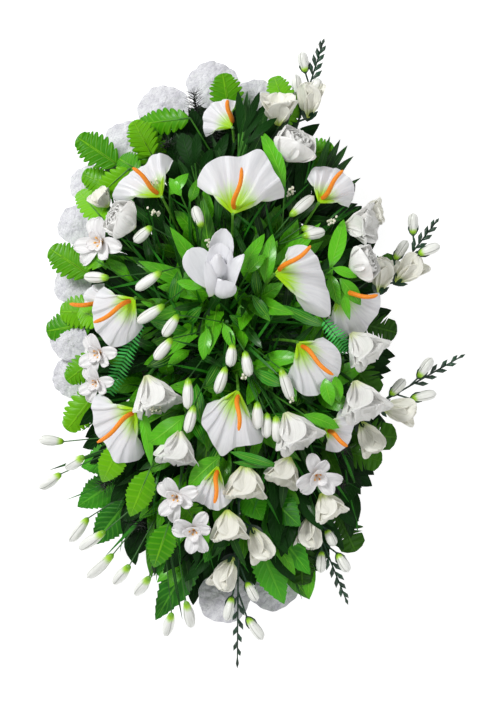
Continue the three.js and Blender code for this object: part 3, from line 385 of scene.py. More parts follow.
def swung_tip(start, tip, lift, turn, size=1.0):
    reach = turned((tip - start) * size, turn)
    reach[2] = max(reach[2] + lift, LOWEST_TIP - start[2])
    return start + reach


def settled(node, make):
    """The first of the small swings whose test points are corners of the measured part."""
    for size in SIZES:
        for lift, turn in SWINGS:
            choice = make(lift, turn, size)
            if all(meets(node, place) for place in choice["meets"]):
                return choice
    missed.append(node)
    return None


def steepest_first(start, root, tips):
    line = unit(start - root)
    return sorted(tips, key=lambda leaf: -np.dot(unit(leaf["tip"] - start), line))


print("swings that a leaf may have:", len(SWINGS))

# %% [markdown]
# ## Bending a blank
#
# These helpers give the points of a blank in their place: a tube along a route, a closed bud, a
# blade from foot to tip, and a petal on an arc. Their numbers are those of the measured part, with
# the fine folds, ruffles and rounded tips that it leaves out.

# %% Stems and buds
ROUNDING = 0.3
STEEP = 0.75
BUD_GIRTH = [0.25, 0.5, 0.7, 0.96, 1, 0.84, 0.54, 0]


def along_route(route, t):
    route = np.array(route)
    steps = np.linalg.norm(np.diff(route, axis=0), axis=1)
    marks = np.concatenate([[0], np.cumsum(steps)]) / steps.sum()
    return np.stack([np.interp(t, marks, route[:, k]) for k in range(3)], axis=1)


def rounded_route(points):
    """A route whose inner corners are rounded, straight near its ends."""
    route = [points[0]]
    for before, corner, after in zip(points, points[1:], points[2:]):
        a, b = mix(corner, before, ROUNDING), mix(corner, after, ROUNDING)
        route += [pulled(a, corner, b, t) for t in np.linspace(0, 1, 5)]
    return route + [points[-1]]


def tube(blank, route, radius_at, squash=1.0):
    """A round blank along a route, with a radius for each share of the way."""
    t, angle = blank.ring
    angle = angle[:, None]
    centre = along_route(route, t)
    way = along_route(route, np.minimum(1, t + 0.02)) - along_route(route, np.maximum(0, t - 0.02))
    way /= np.linalg.norm(way, axis=1)[:, None]
    steep = abs(unit(np.array(route[-1]) - route[0])[2]) > STEEP
    side = np.cross(vec(1, 0, 0) if steep else vec(0, 0, 1), way)
    side /= np.linalg.norm(side, axis=1)[:, None]
    over = np.cross(way, side)
    radius = radius_at(t)[:, None]
    ring = np.hypot(blank.points[:, 0], blank.points[:, 1])[:, None]
    ring[ring > 1e-6] = 1
    return centre + ring * radius * (side * np.cos(angle) + over * np.sin(angle) * squash)


def stem(bunch, points, radius, tip_radius=None):
    tip_radius = radius if tip_radius is None else tip_radius
    route = rounded_route(points) if len(points) > 2 else points
    bunch.lay(STEM_BLANK, tube(STEM_BLANK, route, lambda t: mix(radius, tip_radius, t)))


def bud_points(start, tip, radius, roll=0.0, waist=0.22, sharp=0.0):
    """Three petals wrapped round one another, closed to a point."""
    t, angle = BUD_BLANK.ring
    angle = angle + math.radians(roll)
    girth = np.interp(t, [0, 0.08, waist, 0.45, 0.66, 0.85, 0.95, 1], BUD_GIRTH)
    girth = girth * (1 - sharp * eased(t, 0.5, 1))
    wrap = ((3 * angle / TURN) % 1) - 0.5
    size = radius * girth * (1 + 0.16 * wrap * np.minimum(1, 2.5 * t))
    size[np.hypot(*BUD_BLANK.uv) < 1e-5] = 0
    length = np.linalg.norm(tip - start)
    local = points_of(t * length, size * np.cos(angle), size * np.sin(angle))
    return start + local @ frame_along(start, tip)


print("a stem has", len(STEM_BLANK.sizes), "faces")

# %% [markdown]
# An outline is two rows: shares of the length, and the share of the full width at each. A petal's
# midline is an arc whose slope goes from the first to the second angle of its rise.

# %% Blades and petals
LANCE = ([0, 0.06, 0.2, 0.4, 0.6, 0.8, 0.92, 1], [0.12, 0.3, 0.62, 0.94, 1, 0.72, 0.36, 0.03])
OVAL = ([0, 0.08, 0.2, 0.35, 0.52, 0.7, 0.86, 0.95, 1],
        [0.12, 0.34, 0.74, 0.98, 1, 0.84, 0.5, 0.22, 0.03])
GRASS = ([0, 0.3, 0.7, 1], [0.55, 0.9, 0.8, 0.06])
PETAL = ([0, 0.1, 0.3, 0.5, 0.7, 0.84, 0.94, 1], [0.14, 0.34, 0.78, 0.97, 1, 0.86, 0.58, 0.22])


def blade_points(blank, foot, tip, width, arch, outline, fold=0.18, wave=0.0, roll=0.0):
    """A leaf from foot to tip: arched along, folded a little along its midrib."""
    u, v = blank.uv
    half = 0.5 * width * np.interp(u, *outline)
    across = v * half
    lift = 4 * arch * u * (1 - u) + fold * np.abs(across)
    lift = lift + wave * width * np.sin(9 * u + 2 * v) * np.abs(v)
    local = points_of(u * np.linalg.norm(tip - foot), across, lift)
    return foot + local @ frame_along(foot, tip, roll)


def petal_line(u, length, foot, height, rise):
    start = math.radians(rise[0])
    bend = math.radians(rise[1] - rise[0])
    tilt = start + bend * u
    out = foot + length * (np.sin(tilt) - math.sin(start)) / bend
    up = height - length * (np.cos(tilt) - math.cos(start)) / bend
    return out, up, tilt


def petal_points(turn, length, width, rise, foot, cup, ruffle, curl, seed, height=0):
    """A petal on its arc: cupped across, ruffled towards its rim, its edges and tip curled back."""
    u, v = PETAL_BLANK.uv
    out, up, tilt = petal_line(u, length, foot, height, rise)
    half = 0.5 * width * np.interp(u, *PETAL)
    lift = cup * half * v * v + ruffle * u * u * np.sin(7 * v + 5 * u + seed)
    lift = lift - curl * np.maximum(0, np.abs(v) - 0.6) * half
    lift = lift - curl * 6 * np.maximum(0, u - 0.82)
    return spun(points_of(out - lift * np.sin(tilt), v * half, up + lift * np.cos(tilt)), turn)


print("a blade has", len(BLADE_BLANK.sizes), "faces")

# %% [markdown]
# ## Finishes
#
# All the finishes are mixed from procedural nodes. A small class makes a node socket behave like a
# number in Python, so the sums in a finish read as sums. Patterns follow the blank's own map, whose
# first number runs along the leaf and whose second runs across it.

# %% A small language for finishes
class Wire:
    """A socket that does sums."""

    def __init__(self, paint, socket):
        self.paint, self.socket = paint, socket

    def sum(self, operation, *terms):
        return self.paint.node("ShaderNodeMath", {"operation": operation}, dict(enumerate(terms)))

    def __add__(self, other):
        return self.sum("ADD", self, other)

    def __sub__(self, other):
        return self.sum("SUBTRACT", self, other)

    def __rsub__(self, other):
        return self.sum("SUBTRACT", other, self)

    def __mul__(self, other):
        return self.sum("MULTIPLY", self, other)

    __radd__, __rmul__ = __add__, __mul__

    def sin(self):
        return self.sum("SINE", self)

    def abs(self):
        return self.sum("ABSOLUTE", self)

    def step(self, low, high):
        """Nought below low, one above high, and smooth between."""
        return self.paint.node("ShaderNodeMapRange", {"interpolation_type": "SMOOTHSTEP"},
                               {"Value": self, "From Min": low, "From Max": high})


class Paint:
    """A material that is built node by node round one shader."""

    def __init__(self, name, **fixed):
        self.material = bpy.data.materials.new(name)
        self.material.use_nodes = True
        self.tree = self.material.node_tree
        self.shader = self.tree.nodes["Principled BSDF"]
        for socket, value in fixed.items():
            self.shader.inputs[socket.replace("_", " ")].default_value = value

    def node(self, kind, settings=None, inputs=None, output=0):
        made = self.tree.nodes.new(kind)
        for key, value in (settings or {}).items():
            setattr(made, key, value)
        for key, value in (inputs or {}).items():
            if isinstance(value, Wire):
                self.tree.links.new(value.socket, made.inputs[key])
            else:
                made.inputs[key].default_value = value
        return Wire(self, made.outputs[output])

    def into(self, socket, wire):
        self.tree.links.new(wire.socket, self.shader.inputs[socket])

    def pattern(self):
        place = self.node("ShaderNodeUVMap", {"uv_map": "pattern"})
        parts = self.node("ShaderNodeSeparateXYZ", None, {0: place})
        return parts, Wire(self, parts.socket.node.outputs[1])

    def shade(self):
        return self.node("ShaderNodeAttribute", {"attribute_name": "shade"}, None, 2)

    def place(self):
        return self.node("ShaderNodeTexCoord", None, None, 3)

    def noise(self, scale, detail=2.0, place=None, rough=0.5):
        settings = {"Vector": place or self.place(), "Scale": scale, "Detail": detail, "Roughness": rough}
        return self.node("ShaderNodeTexNoise", None, settings)

    def join(self, x, y, z=0.0):
        return self.node("ShaderNodeCombineXYZ", None, {0: x, 1: y, 2: z})

    def mix(self, share, a, b):
        return self.node("ShaderNodeMix", {"data_type": "RGBA"}, {0: share, 6: a, 7: b}, 2)

    def bump(self, height, distance):
        self.into("Normal", self.node("ShaderNodeBump", None, {"Height": height, "Distance": distance}))


def tone(hex_code):
    """A colour as a designer writes it, turned into light values."""
    parts = [int(hex_code[k:k + 2], 16) / 255 for k in (0, 2, 4)]
    return (*[p / 12.92 if p <= 0.04045 else ((p + 0.055) / 1.055) ** 2.4 for p in parts], 1)


print("white in light values:", tone("f4f5f7")[:3])

# %% [markdown]
# ## Leaf finishes
#
# Artificial leaves are printed polyester: a deep green ground, a paler midrib and side veins, and a
# thin waxy gloss that catches the light in streaks. One recipe with a few numbers gives them all.

# %% Leaves
def leaf_paint(name, dark, light, vein, veins, vein_share, slant=1.5, rib=0.1, rough=0.38,
               coat=0.25, shine=0.3, stripe=None):
    paint = Paint(name, Roughness=rough, Coat_Weight=coat, Coat_Roughness=0.2, Specular_IOR_Level=shine)
    u, v = paint.pattern()
    side = (v - 0.5).abs() * 2
    cloud = paint.noise(38, 3)
    # Each copy's shade picks its tone between dark and light; on the scattered filling it is mostly painted
    # shade, darker deeper down.
    ground = paint.mix((paint.shade() * 0.7 + cloud * 0.5).step(0.15, 0.95), tone(dark), tone(light))
    ribs = ((u * veins - side * slant) * TURN).sin().step(0.3, 1) * side.step(0.02, 0.2)
    if stripe:
        ribs = ((v * 5 + cloud * 0.05) * TURN).sin().step(0.3, 1) * (1 - side.step(0.75, 1))
        ground = paint.mix(ribs * 0.6, ground, tone(stripe))
    middle = 1 - side.step(rib * 0.4, rib)
    ground = paint.mix(ribs * vein_share, ground, tone(vein))
    ground = paint.mix(middle * 0.55, ground, tone(vein))
    paint.into("Base Color", ground)
    paint.into("Roughness", cloud * 0.2 + (rough - 0.1) + ribs * 0.1)
    paint.bump(ribs * 0.5 + middle - side * 0.3 + paint.noise(420, 2) * 0.15, 0.0006)
    return paint.material


# The dark leaf is a real dark green taken nearly to black as painted shade, for the deep filling, the leaves
# under bare spots and the shady single leaves.
LEAF = leaf_paint("leaf_dark", "021002", "0e3c06", "1c5010", 7, 0.15, rough=0.5, coat=0.0, shine=0.15)
LEAF_MID = leaf_paint("leaf_mid", "0a3c04", "60c414", "8cdc38", 8, 0.14, rough=0.34)
LANCE_LEAF = leaf_paint("leaf_lance", "052404", "205e10", "5f8f44", 3, 0.08, slant=3, rough=0.36, coat=0.15)
STRIPED = leaf_paint("leaf_striped", "0c4c06", "2c8c14", "8cc83c", 1, 0.03, stripe="78bc34")
SAW_LEAF = leaf_paint("leaf_saw", "146404", "46ac12", "6cc82c", 9, 0.25, slant=2.2, rough=0.42, coat=0.12)
FERN_LEAF = leaf_paint("fern_bright", "368a00", "6eba04", "8cd41c", 8, 0.2, slant=0.6, rough=0.36,
                       coat=0.08, shine=0.2)
FERN_DARK = leaf_paint("fern_dark", "1c4404", "3a7408", "4a8414", 8, 0.15, slant=0.6, rough=0.45,
                       coat=0.0, shine=0.2)
EMERALD = leaf_paint("fern_emerald", "14b83c", "54ec68", "b4f8a8", 2, 0.2, rib=0.2, rough=0.4, coat=0.1)
GRASS_LEAF = leaf_paint("grass", "0a4205", "2c8c14", "4fa42c", 1, 0.0, rib=0.2, rough=0.42, coat=0.1)
print("materials so far:", len(bpy.data.materials))

# %% [markdown]
# ## Petal, stem and bud finishes
#
# Petals are white cloth with faint grey rays, partly painted shade in their bumped creases, and a tint in
# the throat. The edges of an anthurium's spathe take the tint too, where they are rolled. Buds show the
# three seams of their petals.

# %% Petals and plain finishes
def petal_paint(name, white, grey, throat, glow, rays, rough=0.4, coat=0.1, lines=0.4, rolled=False):
    """Cloth petals: a pale ground, faint grey rays from the foot, partly painted shade, and a tinted throat.
    """
    paint = Paint(name, Roughness=rough, Coat_Weight=coat, Coat_Roughness=0.3, Subsurface_Weight=0.25,
                  Subsurface_Radius=(1, 1, 1), Subsurface_Scale=0.004, Specular_IOR_Level=0.35)
    u, v = paint.pattern()
    streak = paint.noise(1.0, 3, paint.join(v * rays, u * 2.2, paint.shade() * 9))
    cloud = paint.noise(26, 2)
    # The grey of the rays and cloud is partly painted shade in the creases that the same rays bump.
    ground = paint.mix(streak.step(0.35, 0.75) * lines + cloud * 0.15, tone(white), tone(grey))
    inner = 1 - (u + (streak - 0.5) * 0.35).step(glow[1], glow[0])
    ground = paint.mix(inner, ground, tone(throat))
    if rolled:
        side = (v - 0.5).abs() * 2
        ground = paint.mix(side.step(0.84, 0.97) * (1 - u.step(0.3, 0.85)), ground, tone(throat))
    paint.into("Base Color", ground)
    paint.bump(streak + paint.noise(600, 2) * 0.12, 0.0005)
    return paint.material


def simple_paint(name, dark, light, scale=60, rough=0.5, coat=0.0):
    paint = Paint(name, Roughness=rough, Coat_Weight=coat)
    cloud = paint.noise(scale, 3)
    paint.into("Base Color", paint.mix(cloud.step(0.3, 0.7), tone(dark), tone(light)))
    paint.into("Roughness", cloud * 0.2 + (rough - 0.1))
    paint.bump(paint.noise(300, 2), 0.0004)
    return paint.material


SPATHE = petal_paint("spathe", "eeeef1", "cacbd3", "a4dc00", (0.62, 0.16), 34, rough=0.38, coat=0.12,
                     lines=0.35, rolled=True)
SATIN = petal_paint("satin", "fafaf7", "d8d6d2", "dfe8b0", (0.26, 0.0), 20, rough=0.34, coat=0.12,
                    lines=0.35)
CREAM = petal_paint("cream", "faf9ee", "dbd9c8", "c8e060", (0.34, 0.02), 20)
MAGNOLIA = petal_paint("magnolia", "eaeaee", "cdcdd4", "dfe6c8", (0.16, 0.0), 8, rough=0.36, lines=0.3)
LILAC = petal_paint("star", "f8f7f7", "d6d2d5", "edb85a", (0.22, 0.04), 22, lines=0.45)
PIP = petal_paint("pip", "f6f4df", "dcd8b0", "c6d36a", (0.4, 0.0), 6, rough=0.5)
STEM_GREEN = simple_paint("stem_green", "1c4a12", "35701f")
STEM_MID = simple_paint("stem_mid", "2c6414", "4c9426")
STEM_DARK = simple_paint("stem_dark", "102c1c", "1f4a30", rough=0.45, coat=0.2)
STEM_LIGHT = simple_paint("stem_light", "3f7a16", "6aa832")
STAMEN = simple_paint("stamen", "e89a1c", "ffc23c", scale=200, rough=0.6)
FIR_NEEDLE = simple_paint("fir_needle", "050705", "12170f", scale=90, rough=0.28, coat=0.5)
print("materials so far:", len(bpy.data.materials))


# %% Buds, spadices and carnations
QUARTER = 1.57


def bud_paint():
    paint = Paint("bud", Roughness=0.4, Coat_Weight=0.2, Coat_Roughness=0.3)
    u, v = paint.pattern()
    streak = paint.noise(1.0, 2, paint.join(v * 18, u * 2, paint.shade() * 7))
    seam = (1 - ((v * 3 + 0.08) * TURN * 0.5).sin().abs().step(0.0, 0.22)) * u.step(0.12, 0.3)
    ground = paint.mix(streak.step(0.4, 0.75) * 0.55, tone("f7f8f3"), tone("cfd3c8"))
    ground = paint.mix(seam * 0.7, ground, tone("8f9586"))
    ground = paint.mix(1 - (u + streak * 0.1).step(0.2, 0.4), ground, tone("a8dc1c"))
    ground = paint.mix(1 - u.step(0.03, 0.2), ground, tone("6aa81c"))
    paint.into("Base Color", ground)
    paint.bump(streak - seam, 0.0006)
    return paint.material


def spadix_paint():
    paint = Paint("spadix", Roughness=0.5, Coat_Weight=0.1)
    u, v = paint.pattern()
    grain = paint.node("ShaderNodeTexVoronoi", None, {"Vector": paint.join(u * 34, v * 13), "Scale": 1.0})
    cloud = paint.noise(70, 2)
    ground = paint.mix(u.step(0.02, 0.3), tone("ee6a08"), tone("ff940c"))
    ground = paint.mix(cloud.step(0.4, 0.7) * 0.3, ground, tone("ff9e2c"))
    ground = paint.mix(grain.step(0.3, 0.8) * 0.25, ground, tone("e06a14"))
    paint.into("Base Color", ground)
    paint.bump(1 - grain, 0.0006)
    return paint.material


def crimp_paint():
    """Crumpled white cloth with painted shade: a soft grey mottle, and darker grey lines along fine creases.
    """
    paint = Paint("carnation", Roughness=0.6, Specular_IOR_Level=0.3)
    cloud = paint.noise(75, 3, rough=0.55)
    u, v = paint.pattern()
    bent = paint.join((v * TURN).sin() * u * 3 + cloud, (v * TURN + QUARTER).sin() * u * 3 + cloud * 2)
    crease = paint.node("ShaderNodeTexVoronoi", {"feature": "DISTANCE_TO_EDGE"},
                        {"Vector": bent, "Scale": 1.7})
    # The grey mottle is painted shade.
    ground = paint.mix(cloud.step(0.35, 0.8) * 0.6, tone("e6e6ea"), tone("b2b0bb"))
    # The darker lines along the creases are painted shade.
    ground = paint.mix((1 - crease.step(0.0, 0.07)) * 0.45, ground, tone("9c99a8"))
    paint.into("Base Color", ground)
    paint.bump(cloud + crease * 0.7, 0.0009)
    return paint.material


CRIMP = crimp_paint()
BUD = bud_paint()
SPADIX = spadix_paint()
print("materials so far:", len(bpy.data.materials))

# %% [markdown]
# ## The hidden base
#
# The board and the foam keep their measured bodies, as their shape is right, and only get their
# finish: dark pressed fibre, and green florist's foam with its open pores, painted dark as shade.

# %% Board and foam
def board_paint():
    paint = Paint("board_fibre", Roughness=0.85)
    stretched = paint.node("ShaderNodeMapping", None, {"Vector": paint.place(), "Scale": (60, 900, 300)})
    fibre = paint.noise(1.0, 4, stretched)
    paint.into("Base Color", paint.mix(fibre.step(0.35, 0.7), tone("1d1a15"), tone("3c362c")))
    paint.bump(fibre, 0.0006)
    return paint.material


def foam_paint():
    paint = Paint("foam_pores", Roughness=0.95)
    pores = paint.node("ShaderNodeTexVoronoi", None, {"Vector": paint.place(), "Scale": 420.0})
    cloud = paint.noise(30, 3)
    ground = paint.mix(cloud, tone("0f2d12"), tone("1d4a20"))
    # The pores are painted darker, as painted shade in the dimples that the bump gives them.
    paint.into("Base Color", paint.mix(pores.step(0.0, 0.3), tone("081a0a"), ground))
    paint.bump(pores, 0.0012)
    return paint.material


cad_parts["backing_board"].data.materials[0] = board_paint()
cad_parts["foam_pad"].data.materials[0] = foam_paint()
print("kept as measured: backing_board, foam_pad")

# %% [markdown]
# ## Anthuriums
#
# An anthurium pick is one stamped and pleated cloth heart, the spathe, with a foamed orange rod, the
# spadix, through its foot. The heart is a fan of pleats round the foot, so the flat blank is bent by
# polar numbers: its length becomes the distance from the foot and its width becomes the angle.

# %% The outlines of the hearts
# Where the heart's rim is: the share of its spread, and the millimetres from its foot
OUTLINES = {
    "1": [
        (-1, 72), (-0.95, 77), (-0.54, 81), (-0.2, 99), (-0.06, 85), (0.08, 78), (0.36, 81), (0.66, 76),
        (0.95, 66), (1, 60),
    ],
    "2": [
        (-1, 62), (-0.93, 80), (-0.82, 98), (-0.57, 85), (-0.33, 73), (0, 66), (0.3, 64), (0.71, 58),
        (0.9, 50), (1, 42),
    ],
    "3": [(-1, 44), (-0.48, 57), (0.03, 58), (0.4, 53), (0.78, 51), (1, 38)],
    "4": [
        (-1, 48), (-0.87, 60), (-0.6, 76), (-0.34, 80), (0, 77), (0.3, 72), (0.63, 60), (0.85, 46),
        (1, 36),
    ],
    "5": [
        (-1, 46), (-0.64, 69), (-0.4, 72), (-0.16, 82), (0.02, 92), (0.1, 99), (0.2, 87), (0.32, 80),
        (0.6, 77), (0.94, 82), (1, 70),
    ],
    "6": [(-1, 48), (-0.95, 53), (-0.44, 65), (-0.05, 77), (0.39, 80), (0.6, 68), (0.9, 50), (1, 42)],
    "7": [
        (-1, 58), (-0.93, 66), (-0.5, 63), (-0.18, 70), (0.2, 68), (0.5, 83), (0.75, 76), (0.96, 72),
        (1, 60),
    ],
    "8": [(-1, 54), (-0.9, 60), (-0.52, 62), (-0.22, 51), (0.2, 57), (0.6, 64), (0.9, 72), (1, 60)],
}
FLAT_SHARE = 0.84
SMOOTHING = (-0.05, -0.02, 0.02, 0.05)


def rim_reach(key, length, spread, skew):
    """The distance of the rim from the foot, from the outlines or as a plain heart."""
    v = SPATHE_BLANK.uv[1]
    if key in OUTLINES:
        places, sizes = np.array(OUTLINES[key]).T
        return sum(np.interp(v + shift, places, sizes) for shift in SMOOTHING) / 4
    rim = length * (0.5 + 0.5 * np.cos(v * math.radians(spread) * 0.62) ** 2) * (1 + skew * v)
    return rim * (0.97 + 0.04 * np.sin(5 * v + 1.7 * int(key)))


print("hearts with an outline of their own:", len(OUTLINES))

# %% [markdown]
# Each pleat climbs slowly and drops quickly, which the tooth wave gives. Near the foot the edges are
# rolled over towards the viewer, and near the rim they droop.

# %% Spathe and spadix
SPATHE_FOOT = 1.8
COLLAR_TOP, COLLAR_BOTTOM = 0.6, -4
ROD_PLACE = (9, -1)
ROD_TILT = (math.radians(78), math.radians(14))
ROD_RADII = ([0, 0.25, 0.65, 0.9, 0.97, 1], [3.0, 3.4, 3.1, 2.8, 2.3, 1.2])
PLEAT_HEIGHT = 4.4


def spathe_points(key, length, spread, skew):
    u, v = SPATHE_BLANK.uv
    seed = 1.7 * int(key)
    across = np.abs(v)
    rolled = 1 - eased(u, 0.3, 0.75)
    folded = np.where(across < FLAT_SHARE, across / FLAT_SHARE, 1 - 1.5 * (across - FLAT_SHARE))
    angle = np.sign(v) * math.radians(spread) * mix(across, folded, rolled)
    reach = SPATHE_FOOT + u * (rim_reach(key, length, spread, skew) - SPATHE_FOOT)
    folds = 6 if length > 70 else 5 if length > 56 else 4
    place = (0.5 * folds * (v + 1) + 0.16 * np.sin(3 * v + seed)) % 1
    tooth = 0.5 - 0.5 * np.cos(math.pi * np.where(place < 0.8, place / 0.8, (1 - place) / 0.2))
    up = 0.1 * reach * np.abs(np.sin(angle)) + PLEAT_HEIGHT * u * (tooth - 0.5) - 0.0016 * reach * reach * u
    up += rolled * 24 * np.maximum(0, across - FLAT_SHARE) * np.minimum(1, 4 * u)
    up -= (1 - rolled) * 1.2 * np.maximum(0, across - 0.72) * reach * u
    up += 0.6 * u ** 2 * np.sin(7 * v + seed) + 0.35 * u ** 3 * np.sin(31 * angle + 2 * seed)
    up -= 9 * np.maximum(0, u - 0.84) ** 1.2 * (1.2 + np.sin(4 * angle + seed))
    return points_of(reach * np.cos(angle), reach * np.sin(angle), up)


def rod_points(length, aim):
    """A slender rod that rises from the foot of the heart and bends over."""
    t, angle = ROD_BLANK.ring
    radius = np.interp(t, *ROD_RADII)
    x, y, z = t * length, radius * np.cos(angle), radius * np.sin(angle)
    y = y + 0.03 * length * np.sin(TURN * t) * np.sign(math.sin(length))
    steepest, flattest = ROD_TILT
    bend = (flattest - steepest) / length
    tilt = steepest + bend * x
    out = (np.sin(tilt) - math.sin(steepest)) / bend - z * np.sin(tilt)
    up = -(np.cos(tilt) - math.cos(steepest)) / bend + z * np.cos(tilt)
    return spun(points_of(out + ROD_PLACE[0], y, up + ROD_PLACE[1]), aim)


print("points of a heart:", len(SPATHE_BLANK.points))

# %% [markdown]
# The rows say where a heart stands on the mound, where its point aims, its length, half spread and
# slope, then the aim and length of its spadix. One small heart shares its neighbour's stem.

# %% Make the anthuriums
ANTHURIUMS = [
    ("1", -26, 188, 34, 80, 92, 60, 4, 79, 76, 0), ("2", 30, 107, 38, 6, 80, 52, 10, 42, 70, -0.35),
    ("3", 90, 204, 22, 54, 58, 54, 16, 53, 56, 0), ("4", 61, 16, 22, -48, 78, 54, 12, -42, 72, 0),
    ("5", -19, -48, 26, -108, 92, 45, 8, -87, 62, 0),
    ("6", -158, 75, 24, -138, 80, 54, 20, -152, 66, 0.05),
    ("7", -155, -75, 22, -142, 80, 54, 16, -140, 74, 0),
    ("8", -122, 212, 20, 130, 74, 52, 14, 136, 58, 0.1), ("9", 117, 82, 2, -58, 70, 52, 18, 8, 58, 0),
    ("10", 98, -98, 8, -20, 44, 60, 16, -45, 40, 0),
    ("11", -46, -150, 16, -104, 64, 32, 12, -94, 54, 0),
    ("12", -27, 307, 2, 140, 48, 52, 20, 92, 36, 0), ("13", -192, 66, -12, 170, 44, 52, 24, 180, 54, 0),
]
SHARED_STEMS = {"13": "6"}
SEPARATE_RODS = list("124567")
routes, hearts, stalks, rods = {}, {}, {}, {}
for key, x, y, lift, aim, length, spread, slope, rod_aim, rod_length, skew in ANTHURIUMS:
    place, axes = over_mound(x, y, lift), bloom_axes(aim, slope)
    host = SHARED_STEMS.get(key)
    node = "anthurium_" + (host or key)
    foot = place + axes[2] * (COLLAR_BOTTOM + 1)
    routes[key] = [routes[host][1], foot] if host else stem_route(root_under(foot), foot, axes[2])
    heart = place + spathe_points(key, length, spread, skew) @ axes
    hearts.setdefault(node, Bunch()).lay(SPATHE_BLANK, heart, int(key) * GOLDEN % 1)
    stalk = stalks.setdefault(node, Bunch())
    stem(stalk, routes[key], 2)
    stem(stalk, [place + axes[2] * COLLAR_BOTTOM, place + axes[2] * COLLAR_TOP], 2.6, 2.0)
    carrier = "spadix_" + key if key in SEPARATE_RODS else node
    rod = place + rod_points(rod_length, rod_aim - aim) @ axes
    rods.setdefault(carrier, Bunch()).lay(ROD_BLANK, rod)
for node, bunch in hearts.items():
    piece(bunch, node + "_spathe", SPATHE, [node], "spathe", thick=0.9, crease=30)
for node, bunch in stalks.items():
    piece(bunch, node + "_stem", STEM_LIGHT, [node], "leaf")
for node, bunch in rods.items():
    name = node if node.startswith("spadix") else node + "_rod"
    piece(bunch, name + "_orange", SPADIX, [node], "spadix")
print("anthuriums:", len(ANTHURIUMS))

# %% [markdown]
# ## Carnations
#
# A carnation head is a stack of crumpled discs of cloth, each smaller and higher than the one under
# it. The tube blank is opened into a disc. Two pairs of crossed waves, one broad and one fine, give
# it soft creases, and a frill runs round its rim. No two discs of a head are crumpled alike.

# %% Carnations
CARNATIONS = {
    "carnations_top": [(-54, 369, 34, 42, 24), (5, 345, 31, 58, 18)],
    "carnations_upper_left": [(-121, 336, 34, 46, 26), (-174, 292, 29, 40, 28)],
    "carnations_left": [(-224, 234, 26, 42, 28), (-240, 178, 27, 34, 26)],
    "carnations_lower_left": [(-246, 96, 27, 40, 28), (-251, 20, 27, 44, 26), (-249, -32, 26, 30, 24)],
    "carnations_bottom": [(-38, -334, 34, 54, -12), (28, -316, 35, 44, -10)],
}
FRILLS = [(1.05, 0.12, 0.02), (0.84, 0.2, 0.026), (0.6, 0.26, 0.03), (0.34, 0.3, 0.034)]
FORK_SHARES, FORK_HEIGHT = (0.62, 0.72), 34


def frill_points(radius, out, up, crimp, seed):
    t, angle = FRILL_BLANK.ring
    rim = 1 + t * (0.03 * np.sin(5 * angle + 3 * seed) + 0.015 * np.sin(13 * angle + seed))
    reach = radius * (0.02 + (out - 0.02) * t) * rim
    x, y = reach * np.cos(angle), reach * np.sin(angle)
    rise = 0.03 * np.sin(0.42 * x + 1.3 * np.sin(0.31 * y + seed))
    rise *= np.sin(0.38 * y + 1.2 * np.sin(0.27 * x + 2 * seed))
    fine = 0.016 * np.sin(1.05 * x + 2 * np.sin(0.6 * y + seed))
    rise += fine * np.sin(0.9 * y + 2 * np.sin(0.5 * x - seed))
    rise += crimp * t ** 3 * np.sin(11 * angle + seed + 2 * np.sin(3 * angle))
    return points_of(x, y, radius * (up * (1 - 0.75 * t ** 2.5) + rise))


for name, heads in CARNATIONS.items():
    x, y = np.mean([head[:2] for head in heads], axis=0)
    fork = vec(mix(MOUND["x"], x, FORK_SHARES[0]), mix(MOUND["y"], y, FORK_SHARES[1]), FORK_HEIGHT)
    stalk, frills = Bunch(), Bunch()
    out = unit(vec(x - MOUND["x"], y - MOUND["y"], 0))
    stem(stalk, stem_route(root_under(fork), fork, out), 3)
    for x, y, radius, z, lean in heads:
        place = vec(x, y, z)
        axes = bloom_axes(math.degrees(math.atan2(y - MOUND["y"], x - MOUND["x"])), lean)
        for k, (reach, up, crimp) in enumerate(FRILLS):
            points = frill_points(radius, reach, up, crimp, 1.7 * k + x)
            frills.lay(FRILL_BLANK, place + points @ axes, (k * SHADE_STEP) % 1)
        stem(stalk, [fork, place], 2.4, 3.2)
    piece(frills, name + "_frills", CRIMP, [name], "carnation", thick=0.5, crease=80)
    piece(stalk, name + "_stems", STEM_GREEN, [name], "leaf")
print("carnation heads:", sum(len(heads) for heads in CARNATIONS.values()))

# %% [markdown]
# ## The white blooms
#
# A magnolia, three roses, lily-like trumpets, hanging bells and small open stars. All but the
# magnolia are rings of the same cloth petal, set steep for a bell and flat for a star, with a bud in
# the heart of a rose. Their creases and ruffles are waves whose height grows towards the rim.

# %% Petals of the magnolia
PETAL_SHAPE = ([0, 0.1, 0.3, 0.5, 0.7, 0.84, 0.94, 1], [0.3, 0.5, 0.82, 0.97, 1, 0.88, 0.6, 0.2])
POINTED = ([0, 0.1, 0.3, 0.5, 0.7, 0.84, 0.94, 1], [0.4, 0.62, 0.94, 1, 0.86, 0.6, 0.32, 0.06])
# Foot, tip, width, arch, cup, roll and outline of each petal
MAGNOLIA_PETALS = [
    ((-18, 0, 0), (55, -9, 20), 33, 2, 0.5, 0, PETAL_SHAPE),
    ((-22, 8, 4), (28, 37, 14), 40, 3, 0.14, 0, PETAL_SHAPE),
    ((-30, -17, 6), (20, -36, 28), 26, 9, 0.5, -30, POINTED),
    ((-20, 1, 4), (35, -5, 27), 34, 4, 0.35, 0, PETAL_SHAPE),
    ((-26, -14, 4), (27, -18, 30), 16, 5, -0.5, -30, POINTED),
    ((-34, 6, 6), (9, 16, 38), 26, 12, -0.4, 34, POINTED),
    ((-37, -5, 2), (-16, -9, 31), 38, 9, -0.5, -6, PETAL_SHAPE),
]


def leaning(place, degrees, back):
    """The same bloom, its axis leant further towards its aim, and moved back to stay over its stem."""
    c, s = cos_sin(degrees)
    lean = np.array([[c, 0, -s], [0, 1, 0], [s, 0, c]])
    return lambda points: place(points @ lean - vec(back, 0, 0))


